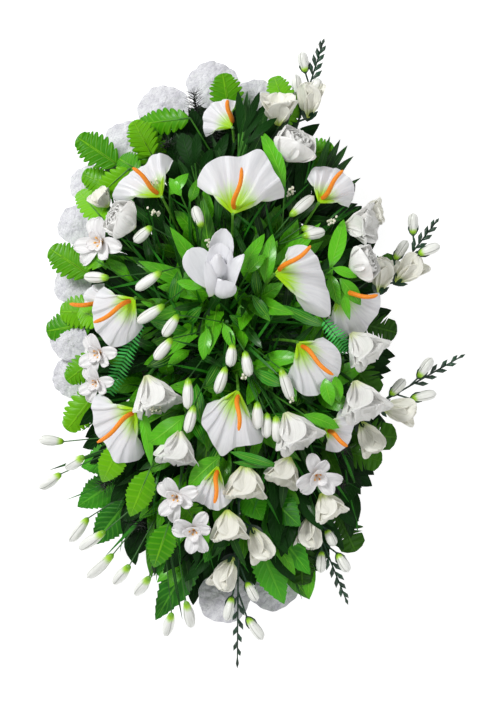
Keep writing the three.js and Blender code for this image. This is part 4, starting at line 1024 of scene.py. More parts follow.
def magnolia(bunch, place):
    u, v = PETAL_BLANK.uv
    for k, (foot, tip, width, arch, cup, roll, outline) in enumerate(MAGNOLIA_PETALS):
        foot, tip = vec(*foot), vec(*tip)
        half = 0.5 * width * np.interp(u, *outline)
        lift = 4 * arch * u * (1 - u) + cup * half * v * v + 0.8 * u * np.sin(6 * u + 3 * v + k)
        local = points_of(u * np.linalg.norm(tip - foot), v * half, lift)
        bunch.lay(PETAL_BLANK, place(foot + local @ frame_along(foot, tip, roll)), k / 7)
    heart = bud_points(vec(-19, 0, 6), vec(20, -1, 38), 12.5, roll=20, waist=0.3, sharp=0.5)
    bunch.lay(BUD_BLANK, place(heart), 0.3)


print("petals of the magnolia:", len(MAGNOLIA_PETALS))

# %% [markdown]
# A ring's rise is the slope of its petals at their foot and at their rim. In the wilder rings the
# petals differ more in length and slope, so that no bloom looks cast in a mould.

# %% Rings of petals
# Petals, length, width, rise, distance of the foot and first turn of each ring of a rose
ROSE_RINGS = [(3, 46, 60, (30, 100), 5, 190), (3, 44, 52, (38, 106), 4, 250), (4, 42, 40, (48, 108), 3, 20),
              (3, 40, 32, (60, 108), 2, 50)]


def rose(bunch, place):
    side = leaning(place, 36, 12)
    for k, (count, length, width, rise, foot, turn) in enumerate(ROSE_RINGS):
        for n in range(count):
            points = petal_points(turn + 360 * n / count, length, width, rise, foot=foot, cup=0.5,
                                  ruffle=0.9 + 0.15 * k, curl=0.3, seed=n + 2 * k)
            bunch.lay(PETAL_BLANK, side(points), (SHADE_STEP * n + 0.2 * k) % 1)
    bunch.lay(BUD_BLANK, side(bud_points(vec(0, 0, 0), vec(0, 0, 37), 13, roll=30)), 0.3)


def petal_ring(bunch, place, count, length, width, rise, turn=0, wild=8, **shape):
    for k in range(count):
        own = length * (1 + 0.1 * math.sin(2.3 * k + turn))
        slant = wild * math.sin(3.1 * k + 0.7 * turn + 1)
        points = petal_points(turn + 360 * k / count + 0.6 * slant, own, width, (rise[0], rise[1] + slant),
                              foot=1.2, seed=1.9 * k + turn, **shape)
        points = place(points + vec(0, 0, 0.5 * (k % 2)))
        bunch.lay(PETAL_BLANK, points, (SHADE_STEP * k + 0.01 * turn) % 1)


def trumpet(bunch, place):
    place = leaning(place, 27, 6)
    petal_ring(bunch, place, 5, 62, 56, (80, 34), wild=16, cup=0.32, ruffle=2.6, curl=0.5)
    petal_ring(bunch, place, 3, 54, 46, (82, 48), turn=36, wild=14, cup=0.36, ruffle=2.0, curl=0.4,
               height=2)


def star(bunch, place):
    petal_ring(bunch, place, 6, 42, 23, (52, -6), wild=26, cup=0.3, ruffle=1.8, curl=0.4)
    petal_ring(bunch, place, 3, 28, 18, (76, 36), turn=30, wild=14, cup=0.4, ruffle=1.2, curl=0.2,
               height=1.5)


def bell(bunch, place):
    place = leaning(place, 22, 3)
    petal_ring(bunch, place, 5, 48, 48, (72, 48), wild=7, cup=0.4, ruffle=1.8, curl=0.5)


print("petals of a rose:", sum(ring[0] for ring in ROSE_RINGS))

# %% [markdown]
# The stars have four stamens each. The rows below say what stands where: the kind of bloom, its
# place and lift over the mound, its aim, its slope and its size. Blooms of one pick share a stem.

# %% Make the blooms
def stamens(bunch, place, count, length, lean):
    """Threads that stand round the middle, each with a bead of pollen."""
    c, s = cos_sin(lean)
    t, angle = SEED_BLANK.ring
    ring = 1.5 * np.sin(math.pi * t)
    bead = points_of(ring * np.cos(angle), ring * np.sin(angle), 3 * np.cos(math.pi * t))
    for k in range(count):
        end = spun(vec(c, 0, s)[None], 360 * k / count + 12)[0] * (length * (0.85 + 0.15 * (k % 2)))
        thread = [place(vec(0, 0, 0)[None])[0], place(end[None])[0]]
        bunch.lay(SPIKE_BLANK, tube(SPIKE_BLANK, thread, lambda t: 0.5 + 0 * t))
        bunch.lay(SEED_BLANK, place(bead + end))


def placer(place, axes, size):
    return lambda points: place + (points * size) @ axes


BLOOMS = {"magnolia": (magnolia, MAGNOLIA), "rose": (rose, SATIN), "trumpet": (trumpet, SATIN),
          "star": (star, LILAC), "bell": (bell, CREAM)}
STAMENS = {"star": (4, 15, 66)}
PICKS = {
    "magnolia": [("magnolia", -47, 112, 26, 90, 4, 1)],
    "rose_top": [("rose", 52, 272, 12, 60, 30, 1.05), ("bell", 36, 312, 0, 90, 50, 0.95)],
    "rose_right": [
        ("rose", 141, 120, 14, 20, 34, 0.9), ("trumpet", 128, 174, 2, 0, 44, 0.78),
        ("bell", 150, 190, 4, 10, 60, 0.66),
    ],
    "rose_left": [
        ("rose", -168, 176, 18, 150, 30, 0.95), ("star", -203, 152, 4, 180, 34, 0.95),
        ("bell", -196, 201, 2, 130, 46, 0.6),
    ],
    "trumpets_left": [
        ("trumpet", -142, -32, 4, -70, 56, 0.95), ("star", -205, 2, 12, 200, 36, 0.8),
        ("star", -209, -38, 10, 200, 30, 0.7),
    ],
    "stars_lower": [
        ("trumpet", -98, -106, 6, -100, 60, 0.84), ("star", -100, -192, 14, 215, 24, 0.84),
        ("star", -78, -236, 14, 250, 26, 0.82), ("bell", -34, -212, -2, -84, 64, 0.95),
    ],
    "trumpets_lower_right": [
        ("trumpet", 46, -82, 6, -64, 56, 0.95), ("star", 86, -162, 16, -60, 26, 0.86),
        ("bell", 50, -140, -8, -110, 56, 0.9), ("bell", -10, -150, 2, -90, 62, 1.06),
        ("bell", 94, -190, 5, -62, 60, 0.84),
    ],
    "trumpet_right": [
        ("trumpet", 140, -40, 12, -70, 50, 0.95), ("trumpet", 136, 26, -6, -50, 54, 0.86),
    ],
}
for name, blooms in PICKS.items():
    heads = [(kind, over_mound(x, y, lift), bloom_axes(aim, lean), size)
             for kind, x, y, lift, aim, lean, size in blooms]
    _, place, axes, _ = heads[0]
    route = stem_route(root_under(place), place, axes[2])
    stalk, gold, petals = Bunch(), Bunch(), {}
    stem(stalk, route, 2.6)
    for k, (kind, place, axes, size) in enumerate(heads):
        BLOOMS[kind][0](petals.setdefault(kind, Bunch()), placer(place, axes, size))
        if kind in STAMENS:
            stamens(gold, placer(place, axes, size), *STAMENS[kind])
        if k:
            knee = mix(route[1], place, 0.5)
            knee[2] = route[1][2]
            stem(stalk, [route[1], knee, place], 2.2)
    for kind, bunch in petals.items():
        piece(bunch, f"{name}_{kind}_petals", BLOOMS[kind][1], [name], "satin", thick=CLOTH)
    piece(stalk, name + "_stems", STEM_GREEN, [name], "leaf")
    piece(gold, name + "_stamens", STAMEN, [name], "spadix")
print("blooms:", sum(len(blooms) for blooms in PICKS.values()))

# %% [markdown]
# ## Snowdrops
#
# The snowdrop picks have thin stems that leave one foot, and each stem ends in a closed bud of three
# petals. A ball blank is drawn out to a point, and a saw-like wave round it makes the three petals
# overlap. The grass blades of a pick are narrow folded cards, one to every third bud.

# %% Snowdrops
SNOWDROPS = {
    "snowdrops_upper_left": ((-72, 142), [
        (-67, 169, -78, 200), (-135, 173, -160, 151), (-193, 103, -228, 105), (-121, 112, -158, 86),
        (-117, 67, -156, 42),
    ]),
    "snowdrops_middle": ((-34, 44), [
        (-99, 54, -120, 23), (-107, 22, -132, -8), (-86, -31, -87, -75), (-78, -68, -88, -107),
        (-26, 15, -30, -18), (-35, -16, -48, -54), (-10, 5, -4, -31), (38, -18, 53, -63),
        (7, -63, 7, -102), (20, -78, 19, -114), (32, -82, 34, -120),
    ]),
    "snowdrops_upper_right": ((22, 152), [(50, 185, 84, 214), (67, 158, 99, 166), (66, 172, 96, 160)]),
    "snowdrops_far_left": ((-176, -128), [
        (-256, -120, -292, -117), (-228, -139, -253, -156), (-260, -163, -291, -184),
    ]),
    "snowdrops_bottom_left": ((-125, -225), [
        (-223, -223, -250, -257), (-199, -241, -237, -267), (-188, -272, -226, -307),
        (-166, -287, -189, -314), (-139, -303, -159, -329), (-109, -352, -118, -385),
        (-90, -335, -82, -373),
    ]),
}
BUD_RADIUS, BUD_STALK, BUD_ABOVE = 7.5, 0.85, 20


def blade(bunch, blank, foot, tip, width, outline, seed, **bend):
    arch = bend.pop("arch", 0.1 * np.linalg.norm(tip - foot))
    bunch.lay(blank, blade_points(blank, foot, tip, width, arch, outline, **bend), (seed * GOLDEN) % 1)


for name, ((fx, fy), buds) in SNOWDROPS.items():
    start = vec(fx, fy, max(60, mound_height(fx, fy) - 20))
    root = root_under(start)
    heads, stalk, grass = Bunch(), Bunch(), Bunch()
    stem(stalk, stem_route(root, start, unit(start - root)), 2.4)
    grown = [{"foot": over_mound(sx, sy, BUD_ABOVE), "tip": over_mound(tx, ty, BUD_ABOVE)}
             for sx, sy, tx, ty in buds]
    for k, bud in enumerate(steepest_first(start, root, grown)):
        joint = mix(start, root, 0.03 + 0.085 * k)

        def bud_choice(lift, turn, size):
            foot = bud["foot"] + vec(0, 0, lift)
            tip = swung_tip(foot, bud["tip"] + vec(0, 0, lift), 0, turn / 2)
            return {"meets": [tip], "foot": foot, "tip": tip}

        choice = settled(name, bud_choice)
        if choice:
            foot, tip = choice["foot"], choice["tip"]
            heads.lay(BUD_BLANK, bud_points(foot, tip, BUD_RADIUS, roll=47 * k), k * SHADE_STEP % 1)
            knee = mix(joint, foot, 0.55) + vec(0, 0, 7)
            stem(stalk, [joint, knee, mix(foot, tip, 0.05)], BUD_STALK, BUD_STALK * 1.1)
        if k % 3 == 0:
            def grass_choice(lift, turn, size):
                aim = mix(bud["foot"], bud["tip"], 0.4) + vec(0, 0, -8)
                tip = swung_tip(joint, aim, lift, turn, size)
                return {"meets": [tip], "tip": tip}

            choice = settled(name, grass_choice)
            if choice:
                blade(grass, GRASS_BLANK, mix(joint, root, 0.04), choice["tip"], 5, GRASS, k, arch=10)
    piece(heads, name + "_buds", BUD, [name], "cream")
    piece(stalk, name + "_stems", STEM_GREEN, [name], "leaf")
    piece(grass, name + "_grass", GRASS_LEAF, [name], "leaf", thick=THIN_CLOTH)
print("leaves and buds not found again:", missed)

# %% [markdown]
# ## Long sprays
#
# The sprays that reach past the rim have a wiry dark stem, cream buds on short stalks, hanging bells
# held by five sepals, and pointed leaf buds set in turn left and right towards the tip.

# %% Sprays
SPRAYS = {
    "spray_top": ((58, 300, 92), (99, 432, 74), [
        (73, 384, 68, 413), (63, 345, 60, 382), (84, 356, 92, 376),
    ], [(76, 322, 80, 352)]),
    "spray_right": ((162, 66, 92), (256, 186, 84), [
        (220, 162, 220, 193), (194, 128, 212, 155), (226, 136, 257, 148),
    ], [
        (196, 98, 226, 124), (172, 84, 180, 114),
    ]),
    "spray_lower_right": ((130, -92, 100), (292, 0, 84), [
        (226, -33, 246, -5), (188, -57, 209, -34), (216, -61, 252, -54),
    ], [
        (176, -72, 214, -80), (148, -92, 164, -124),
    ]),
    "spray_bottom_right": ((70, -190, 104), (132, -344, 58), [
        (101, -239, 113, -262), (95, -268, 94, -299), (116, -272, 132, -298),
    ], [(80, -218, 76, -256)]),
    "spray_bottom": ((-18, -200, 138), (-20, -432, 46), [
        (-27, -330, -35, -364), (-8, -310, 7, -337), (-7, -359, 15, -390),
    ], [
        (-26, -276, -46, -318), (0, -236, 14, -272),
    ]),
}
LEAF_BUDS, SAG = 8, 16
LEAF_BUD_GIRTH = ([0, 0.3, 0.6, 1], [0.22, 0.5, 1, 0.02])


def leaf_bud(bunch, foot, tip, radius):
    bunch.lay(SEED_BLANK, tube(SEED_BLANK, [foot, mix(foot, tip, 0.5), tip],
                               lambda t: radius * np.interp(t, *LEAF_BUD_GIRTH)))


def calyx(bunch, foot, tip, radius, flare=1.12):
    """Five pointed sepals that hold the foot of a bud."""
    way = unit(tip - foot)
    side = unit(np.cross(way, vec(0.2, 0.3, 1)))
    for k in range(5):
        out = side * math.cos(TURN * k / 5) + np.cross(way, side) * math.sin(TURN * k / 5)
        end = foot + way * radius * 2.4 + out * radius * flare
        points = blade_points(COMB_BLANK, foot - way * 2, end, radius * 1.1, -2.4, LANCE, fold=0)
        bunch.lay(COMB_BLANK, points, k / 5)


def on_spray(start, end, share):
    return mix(start, end, share) + vec(0, 0, SAG * share * (1 - share))


print("leaf buds on a spray:", LEAF_BUDS)

# %% [markdown]
# Each bud or bell joins the stem at the point nearest to its foot.

# %% Make the sprays
for name, (start, end, buds, blooms) in SPRAYS.items():
    start, end = vec(*start), vec(*end)
    root = root_under(start)
    rib = unit(end - start)
    stalk, green, heads, bells = Bunch(), Bunch(), Bunch(), Bunch()
    stem(stalk, stem_route(root, start, unit(rib + vec(0, 0, 0.6))), 2.4)
    stem(stalk, [start, mix(start, end, 0.55) + vec(0, 0, 4), mix(end, start, 0.06)], 1.9, 1.0)

    def joint_for(x, y):
        share = np.dot(vec(x - start[0], y - start[1], 0), rib) / np.linalg.norm(end - start)
        return on_spray(start, end, np.clip(share, 0.02, 0.96))

    for k, (sx, sy, tx, ty) in enumerate(buds):
        joint = joint_for(sx, sy)
        foot, tip = vec(sx, sy, joint[2] + 3), vec(tx, ty, joint[2] + 6)
        back = joint - rib * 14
        back[2] = joint[2]
        heads.lay(BUD_BLANK, bud_points(foot, tip, 7.2, roll=31 * k), 0.3 * k)
        stem(stalk, [back, mix(back, foot, 0.6) + vec(0, 0, 1), foot], 1.4)
        calyx(green, foot, tip, 6.4)
    for sx, sy, tx, ty in blooms:
        joint = joint_for(sx, sy)
        foot = vec(sx, sy, joint[2] + 4)
        axis = unit(vec(tx - sx, ty - sy, 6))
        across = unit(vec(-axis[1], axis[0], 0))
        place = placer(foot, np.array([across, np.cross(axis, across), axis]), 1)
        petal_ring(bells, place, 5, 48, 36, (82, 62), wild=6, cup=0.4, ruffle=1.6, curl=0.5)
        stem(stalk, [joint - rib * 8, foot], 1.6)
        calyx(green, foot - axis * 3, foot + axis * 8, 6, flare=2.2)
    for k in range(LEAF_BUDS):
        joint = on_spray(start, end, mix(0.56, 0.87, k / (LEAF_BUDS - 1)))
        late = k / LEAF_BUDS
        way = turned(rib, (1 if k % 2 else -1) * mix(30, 16, late))
        way = unit(way + vec(0, 0, 0.25 * math.sin(2.4 * k)))
        leaf_bud(green, joint, joint + way * mix(21, 15, late), mix(3.6, 2.8, late))
    leaf_bud(green, mix(end, start, 0.08), end, 2.4)
    piece(heads, name + "_buds", BUD, [name], "cream")
    piece(bells, name + "_bells", CREAM, [name], "cream", thick=CLOTH)
    piece(stalk, name + "_stem", STEM_DARK, [name], "leaf")
    piece(green, name + "_leaf_buds", STEM_DARK, [name], "leaf", crease=80)
print("sprays:", len(SPRAYS))

# %% [markdown]
# ## Fronds
#
# Four kinds of frond fill the rim. A fern tip is one blade whose edge is cut into lobes, shallow and
# round on the bright ones, deep as fingers on the dark ones. The emerald fronds are combs of narrow
# leaflets, and the lower leaves have saw edges. A frond is drawn flat along its rib and then arched
# in one go, so that all of it stays in one curved surface.

# %% Kinds of frond
SCALLOPS = {"cuts": 8, "depth": 0.42, "power": 0.45, "forward": 0.34, "last": 0.86,
            "profile": ([0, 0.1, 0.35, 0.65, 0.85, 0.94, 0.985, 1],
                        [0.4, 0.76, 1, 0.88, 0.62, 0.48, 0.26, 0.04])}
FINGERS = {"cuts": 7, "depth": 0.92, "power": 0.62, "forward": 0.5, "last": 0.66,
           "profile": ([0, 0.15, 0.4, 0.62, 0.74, 0.86, 0.95, 1],
                       [0.5, 0.9, 1, 0.8, 0.78, 0.74, 0.46, 0.06])}
FERN = {"width": 44, "arch": 6, "droop": 6, "taper": 0.4, "lean": 0.45, "lobes": 4, "lift": -4,
        "cut": SCALLOPS, "finish": FERN_LEAF, "slot": "fern"}
FINGER_FERN = {**FERN, "cut": FINGERS, "finish": FERN_DARK}
SAW = {"width": 50, "arch": 8, "droop": 6, "taper": 0.4, "lean": 0.7, "lobes": 4, "lift": -4,
       "finish": SAW_LEAF, "slot": "leaf"}
PINNATE = {"width": 26, "arch": 8, "droop": 4, "taper": 0.5, "lean": 0.5, "lobes": 10, "lift": 22,
           "pairs": 0.2, "finish": EMERALD, "slot": "emerald"}


def half_width(kind, width, share):
    taper = kind["taper"]
    return 0.5 * width * (taper + (1 - taper) * np.sin(math.pi * (1 - share) ** 0.75 * 0.95))


def frond_bend(kind, points, length, width):
    u = points[:, 0] / length
    lift = 4 * kind["arch"] * u * (1 - u) - kind["droop"] * u * u - points[:, 1] ** 2 / (2.2 * width)
    return points + points_of(0 * u, 0 * u, lift)


def rib_along(ribs, kind, place, length, width, reach):
    line = points_of(np.linspace(0, reach, 9), np.zeros(9), np.full(9, 0.4))
    route = list(place(frond_bend(kind, line, length, width)))
    ribs.lay(STEM_BLANK, tube(STEM_BLANK, route, lambda t: mix(1.5, 0.5, t)))


def lay_frond(bunch, blank, kind, place, flat, length, width, shade):
    flat[:, 0] = np.minimum(flat[:, 0], length)
    bunch.lay(blank, place(frond_bend(kind, flat, length, width)), shade % 1)


def fern_leaf(bunch, ribs, kind, place, length, stalk, width, seed):
    """A fern tip cut into lobes that lean forward, each pressed into a ridge."""
    cut = kind["cut"]
    u, v = FERN_BLANK.uv
    leafy = length - stalk
    along = cut["cuts"] * (0.8 * u + 0.2 * u * u)
    lobe = np.abs(np.sin(math.pi * along)) ** cut["power"]
    before_last = 1 - eased(u, cut["last"] - 0.02, cut["last"] + 0.06)
    inner = 1 - cut["depth"] * (1 - lobe) * np.abs(v) ** 0.6 * before_last
    across = v * 0.55 * width * np.interp(u, *cut["profile"]) * inner
    forward = cut["forward"] * np.abs(across) * (1 - 0.9 * eased(u, cut["last"] - 0.2, cut["last"] + 0.04))
    ridge = 2.4 * (lobe - 0.5) * np.abs(v) * (1 - 0.5 * np.abs(v)) + np.sin(seed + 3 * v + 5 * u) * np.abs(v)
    flat = points_of(stalk + leafy * u + forward, across, 0.4 + ridge)
    lay_frond(bunch, FERN_BLANK, kind, place, flat, length, width, seed * SHADE_STEP)
    rib_along(ribs, kind, place, length, width, stalk + leafy * 0.7)


print("cuts of a bright and a dark fern:", SCALLOPS["cuts"], FINGERS["cuts"])

# %% [markdown]
# A comb frond has its leaflets in pairs along the rib. A saw leaf is one broad card with teeth that
# point forward, pressed into ridges along its side veins.

# %% Combs and saw leaves
NARROW = ([0, 0.2, 0.6, 1], [0.7, 1, 0.8, 0.1])
SAW_WIDTHS = ([0, 0.06, 0.2, 0.38, 0.6, 0.8, 0.93, 1], [0.1, 0.42, 0.84, 1, 0.86, 0.54, 0.24, 0.02])
SAW_TEETH, SAW_VEINS = 12, 9


def comb_leaf(bunch, ribs, kind, place, length, stalk, width, seed):
    leafy = length - stalk
    pairs = round(kind["pairs"] * leafy)
    step = leafy / pairs
    u, v = COMB_BLANK.uv
    for k in range(pairs):
        share = (k + 0.4) / pairs
        start = stalk + leafy * (share - 0.02)
        for side in (-1, 1):
            out = 1.04 * half_width(kind, width, share) * (1 + 0.05 * math.sin(seed + 5 * k + side))
            across = 0.33 * step * np.interp(u, *NARROW) * v
            flat = points_of(start + 0.35 * out * u + across, side * out * u,
                             0.8 + 0.12 * across + 1.2 * u * (1 - u))
            lay_frond(bunch, COMB_BLANK, kind, place, flat, length, width, seed * SHADE_STEP + 0.11 * k)
    rib_along(ribs, kind, place, length, width, length - 0.5 * step)


def saw_leaf(bunch, ribs, kind, place, length, stalk, width, seed):
    u, v = SAW_BLANK.uv
    leafy = length - stalk
    half = 0.5 * width * np.interp(u, *SAW_WIDTHS)
    across = v * half * (1 - 0.2 * ((u * SAW_TEETH) % 1) * np.abs(v) ** 3)
    veins = np.abs(np.sin(math.pi * (u * SAW_VEINS - 0.9 * np.abs(v))))
    ridge = 0.9 * veins * np.abs(v) * (1 - u)
    flat = points_of(stalk + leafy * u, across, 0.5 + ridge + 0.12 * np.abs(across))
    lay_frond(bunch, SAW_BLANK, kind, place, flat, length, width, seed * SHADE_STEP)
    rib_along(ribs, kind, place, length, width, stalk + leafy * 0.5)


print("teeth of a saw leaf on each side:", SAW_TEETH)

# %% [markdown]
# A pick's fronds leave its crown one under another, and the joint of each is a little further down
# the stem. The ferns on the left and at the top are raised, so that they lie over the carnations.

# %% Make the fronds
FRONDS = {
    "ferns_top": (FERN, (-20, 285, 66), [
        (-57, 340, -15, 383), (52, 329, 29, 382), (60, 300, 110, 278),
    ]),
    "ferns_upper_left": (FERN, (-110, 225, 70), [
        (-84, 321, -156, 313), (-152, 262, -160, 315), (-188, 254, -249, 279), (-205, 184, -239, 230),
    ]),
    "ferns_left": (FERN, (-150, 60, 72), [
        (-227, 155, -286, 128), (-214, 125, -261, 87), (-227, 69, -284, 31), (-238, 20, -252, -36),
        (-205, -54, -272, -88),
    ]),
    "ferns_right": (FINGER_FERN, (110, 60, 66), [
        (136, 150, 178, 124), (160, 100, 200, 130), (158, 73, 200, 42), (163, 19, 192, -34),
    ]),
    "ferns_lower_right": (FINGER_FERN, (70, -120, 66), [
        (133, -130, 198, -114), (116, -146, 164, -172), (100, -222, 142, -270), (72, -250, 94, -312),
    ]),
    "saw_leaves_left": (SAW, (-122, -146, 84), [
        (-141, -246, -218, -262), (-173, -190, -240, -210), (-184, -128, -228, -170),
        (-118, -185, -190, -201), (-125, -219, -126, -306),
    ]),
    "saw_leaves_bottom": (SAW, (-22, -196, 88), [
        (-84, -228, -24, -290), (-92, -290, -46, -394), (8, -265, 4, -352), (24, -217, 62, -311),
        (24, -178, 64, -232), (-14, -182, 12, -222),
    ]),
    "emerald_left": (PINNATE, (-150, 52, 152), [(-156, 46, -208, -50)]),
    "emerald_right": (PINNATE, (92, 56, 172), [(95, 53, 131, 2)]),
}
DRAW = {"fern": fern_leaf, "leaf": saw_leaf, "emerald": comb_leaf}
FERN_RISE = {"ferns_top": 14, "ferns_upper_left": 24, "ferns_left": 18}


def frond_place(joint, end, rise=0):
    """Moves a frond to its joint, its tip raised to lie over the carnation heads."""
    axes = frame_along(joint, end)
    length = np.linalg.norm(end - joint)
    return lambda points: joint + points @ axes + np.outer(rise * points[:, 0] / length, vec(0, 0, 1))


for name, (kind, crown, leaves) in FRONDS.items():
    start = vec(*crown)
    root = root_under(start)
    green, ribs = Bunch(), Bunch()
    stem(ribs, stem_route(root, start, unit(start - root)), 2.2)
    grown = [{"tip": over_mound(tx, ty, kind["lift"]), "leafy": math.hypot(tx - fx, ty - fy)}
             for fx, fy, tx, ty in leaves]
    for k, leaf in enumerate(steepest_first(start, root, grown)):
        joint = mix(start, root, 0.03 + 0.08 * k)
        leafy = leaf["leafy"]

        def frond_choice(lift, turn, size):
            end = swung_tip(joint, leaf["tip"], lift, turn)
            length = np.linalg.norm(end - joint)
            stalk = max(2, length - leafy * size)
            width = kind["width"] * (0.86 if leafy < 60 else 1) * size
            lobe = vec(stalk + (length - stalk) * kind["lean"] / kind["lobes"],
                       half_width(kind, width, 0.5 / kind["lobes"]), 0.5)
            tests = frond_bend(kind, np.array([vec(length, 0, 0.5), lobe]), length, width)
            spots = frond_place(joint, end)(tests) - vec(0, 0, 0.5)
            return {"meets": list(spots), "end": end, "form": (length, stalk, width)}

        choice = settled(name, frond_choice)
        if choice:
            place = frond_place(joint, choice["end"], FERN_RISE.get(name, 0))
            DRAW[kind["slot"]](green, ribs, kind, place, *choice["form"], k + 1)
    piece(green, name + "_leaves", kind["finish"], [name], kind["slot"], thick=THIN_CLOTH)
    piece(ribs, name + "_ribs", STEM_GREEN, [name], kind["slot"])
print("not found again so far:", missed)

# %% [markdown]
# ## Leafy stems
#
# Lance leaves at the top and broad glossy leaves round the middle fan out from crowns that stand
# between the flowers. A blade is folded along its midrib and arched. A row gives the place of a tip,
# its lift over the mound, and sometimes a width of its own.

# %% Leafy stems
LEAFY = {
    "lance_top": ((-14, 250, 128), 15, [
        (-20, 357, 20), (-3, 348, 6), (12, 356, 16), (24, 340, 18), (38, 321, 16), (-42, 300, -12),
        (15, 301, 30, 20), (-73, 305, 0, 16), (-104, 301, -4, 18),
    ]),
    "lance_upper_right": ((92, 232, 100), 13, [
        (106, 296, 14), (120, 292, 6), (130, 284, 16), (136, 268, 8), (72, 292, -10), (148, 240, 0),
        (118, 180, 0, 18),
    ]),
    "oval_left": ((-52, 88, 130), 22, [
        (-140, 150, -8), (-182, 134, 2), (-118, 122, 0), (-114, 92, -6), (-142, 70, -14),
        (-100, 178, -2), (-70, 8, 0), (-50, -2, 10), (-104, 50, -14), (-142, 14, -16), (-84, 214, -4),
    ]),
    "oval_right": ((6, 92, 134), 22, [
        (16, 164, 10), (34, 153, 6), (60, 74, -8), (24, 44, 12), (103, 49, -8), (80, 42, -22),
        (44, 30, -4), (0, 30, -12), (78, 132, -16), (112, 128, -16), (48, 206, -8),
    ]),
    "oval_lower": ((-52, -66, 124), 26, [
        (-139, -117, 6), (-84, -180, 10), (-136, -152, 0), (-216, -84, 0), (-112, -44, -18),
        (-20, -146, -18), (54, -158, 6), (-4, -112, -24), (-60, -132, -20),
    ]),
    "oval_lower_right": ((90, -54, 118), 24, [
        (140, -76, 10), (138, 6, -10), (164, -20, -8), (128, 60, 0), (154, 74, 10), (147, 106, 6),
        (96, -120, -14), (60, -70, -10), (8, -20, -14),
    ]),
}
JOINT_STEP = 0.055
for name, (crown, width, leaves) in LEAFY.items():
    start = vec(*crown)
    root = root_under(start)
    green, ribs = Bunch(), Bunch()
    stem(ribs, stem_route(root, start, unit(start - root)), 2.6)
    grown = [{"tip": over_mound(x, y, lift), "own": own[0] if own else width} for x, y, lift, *own in leaves]
    lance = name.startswith("lance")
    outline, finish, fullness = (LANCE, LANCE_LEAF, 0.85) if lance else (OVAL, LEAF_MID, 1.12)
    for k, leaf in enumerate(steepest_first(start, root, grown)):
        foot = mix(start, root, 0.03 + JOINT_STEP * k)

        def leaf_choice(lift, turn, size):
            tip = swung_tip(foot, leaf["tip"], lift, turn, size)
            return {"meets": [tip], "tip": tip, "width": leaf["own"] * (0.8 if size < 1 else 1)}

        choice = settled(name, leaf_choice)
        if choice:
            blade(green, BLADE_BLANK, foot, choice["tip"], choice["width"] * fullness, outline, k + 1,
                  fold=0.22, wave=0.02)
    piece(green, name + "_leaves", finish, [name], "leaf", thick=CLOTH)
    piece(ribs, name + "_stems", STEM_GREEN, [name], "leaf")
print("leaves not found again:", missed)

# %% [markdown]
# ## Black fir
#
# Behind the flowers lies a garland of black artificial fir: twisted wire with stiff shiny needles.
# It shows as dark bristly tufts in the gaps of the rim, and a few bristles reach up between the
# flowers to where they are seen.

# %% Fir
FIR = {"half_width": 118, "half_length": 212, "height": 13.75}
TUFTS = [
    (-78, 352, 44), (-114, 284, 56), (-205, -188, 46), (-158, -242, 44), (130, -188, 46),
]
BRISTLES = [
    (-79, 350, 100), (-48, 298, 126), (-116, 282, 118), (-204, -186, 96), (-155, -239, 108),
    (122, -186, 114), (126, -137, 122),
]
CORNERS = 14
fir_random = random.Random(11)


def garland_turn(x, y):
    return math.atan2((y - FOAM["y"]) / FIR["half_length"], (x - FOAM["x"]) / FIR["half_width"])


def on_garland(turn):
    x = FOAM["x"] + FIR["half_width"] * math.cos(turn)
    return vec(x, FOAM["y"] + FIR["half_length"] * math.sin(turn), FIR["height"])


def needles(bunch, start, end, count, length):
    """Stiff needles that lean along their wire, none of them through the floor."""
    way = unit(end - start)
    side = unit(np.cross(way, vec(0, 0, 1)))
    over = np.cross(way, side)
    for k in range(count):
        root = mix(start, end, (k + fir_random.random()) / count)
        turn = 2.4 * k
        out = unit(way * mix(0.35, 0.8, fir_random.random()) + side * math.cos(turn) + over * math.sin(turn))
        tip = root + out * length * mix(0.7, 1.1, fir_random.random())
        if tip[2] > 2.5 and root[2] > 2.5:
            bunch.lay(SPIKE_BLANK, tube(SPIKE_BLANK, [root, tip], lambda t: mix(0.55, 0.12, t), 0.5))


wires, bristles = Bunch(), Bunch()
for k in range(CORNERS):
    a, b = on_garland(TURN * k / CORNERS), on_garland(TURN * (k + 1) / CORNERS)
    stem(wires, [a, b], 2.2)
    needles(bristles, a, b, 44, 17)
for x, y, z in TUFTS:
    start = on_garland(round(garland_turn(x, y) / (TURN / CORNERS)) * TURN / CORNERS)
    for side in (0, 8, -8, 16, -16, 26):
        end = vec(x + side * 0.4, y + side, z + side * 0.3)
        if meets("fir_garland", end, 1.9):
            stem(wires, [start, end], 1.5, 0.9)
            needles(bristles, mix(start, end, 0.3), end, 90, 19)
            break
for x, y, z in BRISTLES:
    start, end = on_garland(garland_turn(x, y)), vec(x, y, z)
    stem(wires, [start, end], 1.5, 0.9)
    needles(bristles, mix(end, start, 0.35), end + vec(0, 6, 2), 90, 17)
piece(wires, "fir_wire", FIR_NEEDLE, ["fir_garland"], "fir")
piece(bristles, "fir_needles", FIR_NEEDLE, ["fir_garland"], "fir")
print("needles:", len(bristles.points))

# %% [markdown]
# ## Filling in
#
# A florist fills the space between the picks with cheap greenery until no foam shows. Here leaves and
# grass blades grow from the foam to just below the mound, by a seeded rule. Each one is kept only
# if it stays clear of the flowers, which a search tree of their surfaces tells quickly.

# %% What the filling keeps clear of
FLOWER_WORDS = ("spathe", "petals", "frills", "buds", "orange", "bells")
flower_points, flower_faces = [], []
for thing in made_pieces:
    if any(word in thing.name for word in FLOWER_WORDS):
        offset = len(flower_points)
        flower_points += [v.co.copy() for v in thing.data.vertices]
        flower_faces += [[offset + i for i in face.vertices] for face in thing.data.polygons]
flower_tree = BVHTree.FromPolygons(flower_points, flower_faces)
carnation_heads = [head for heads in CARNATIONS.values() for head in heads]


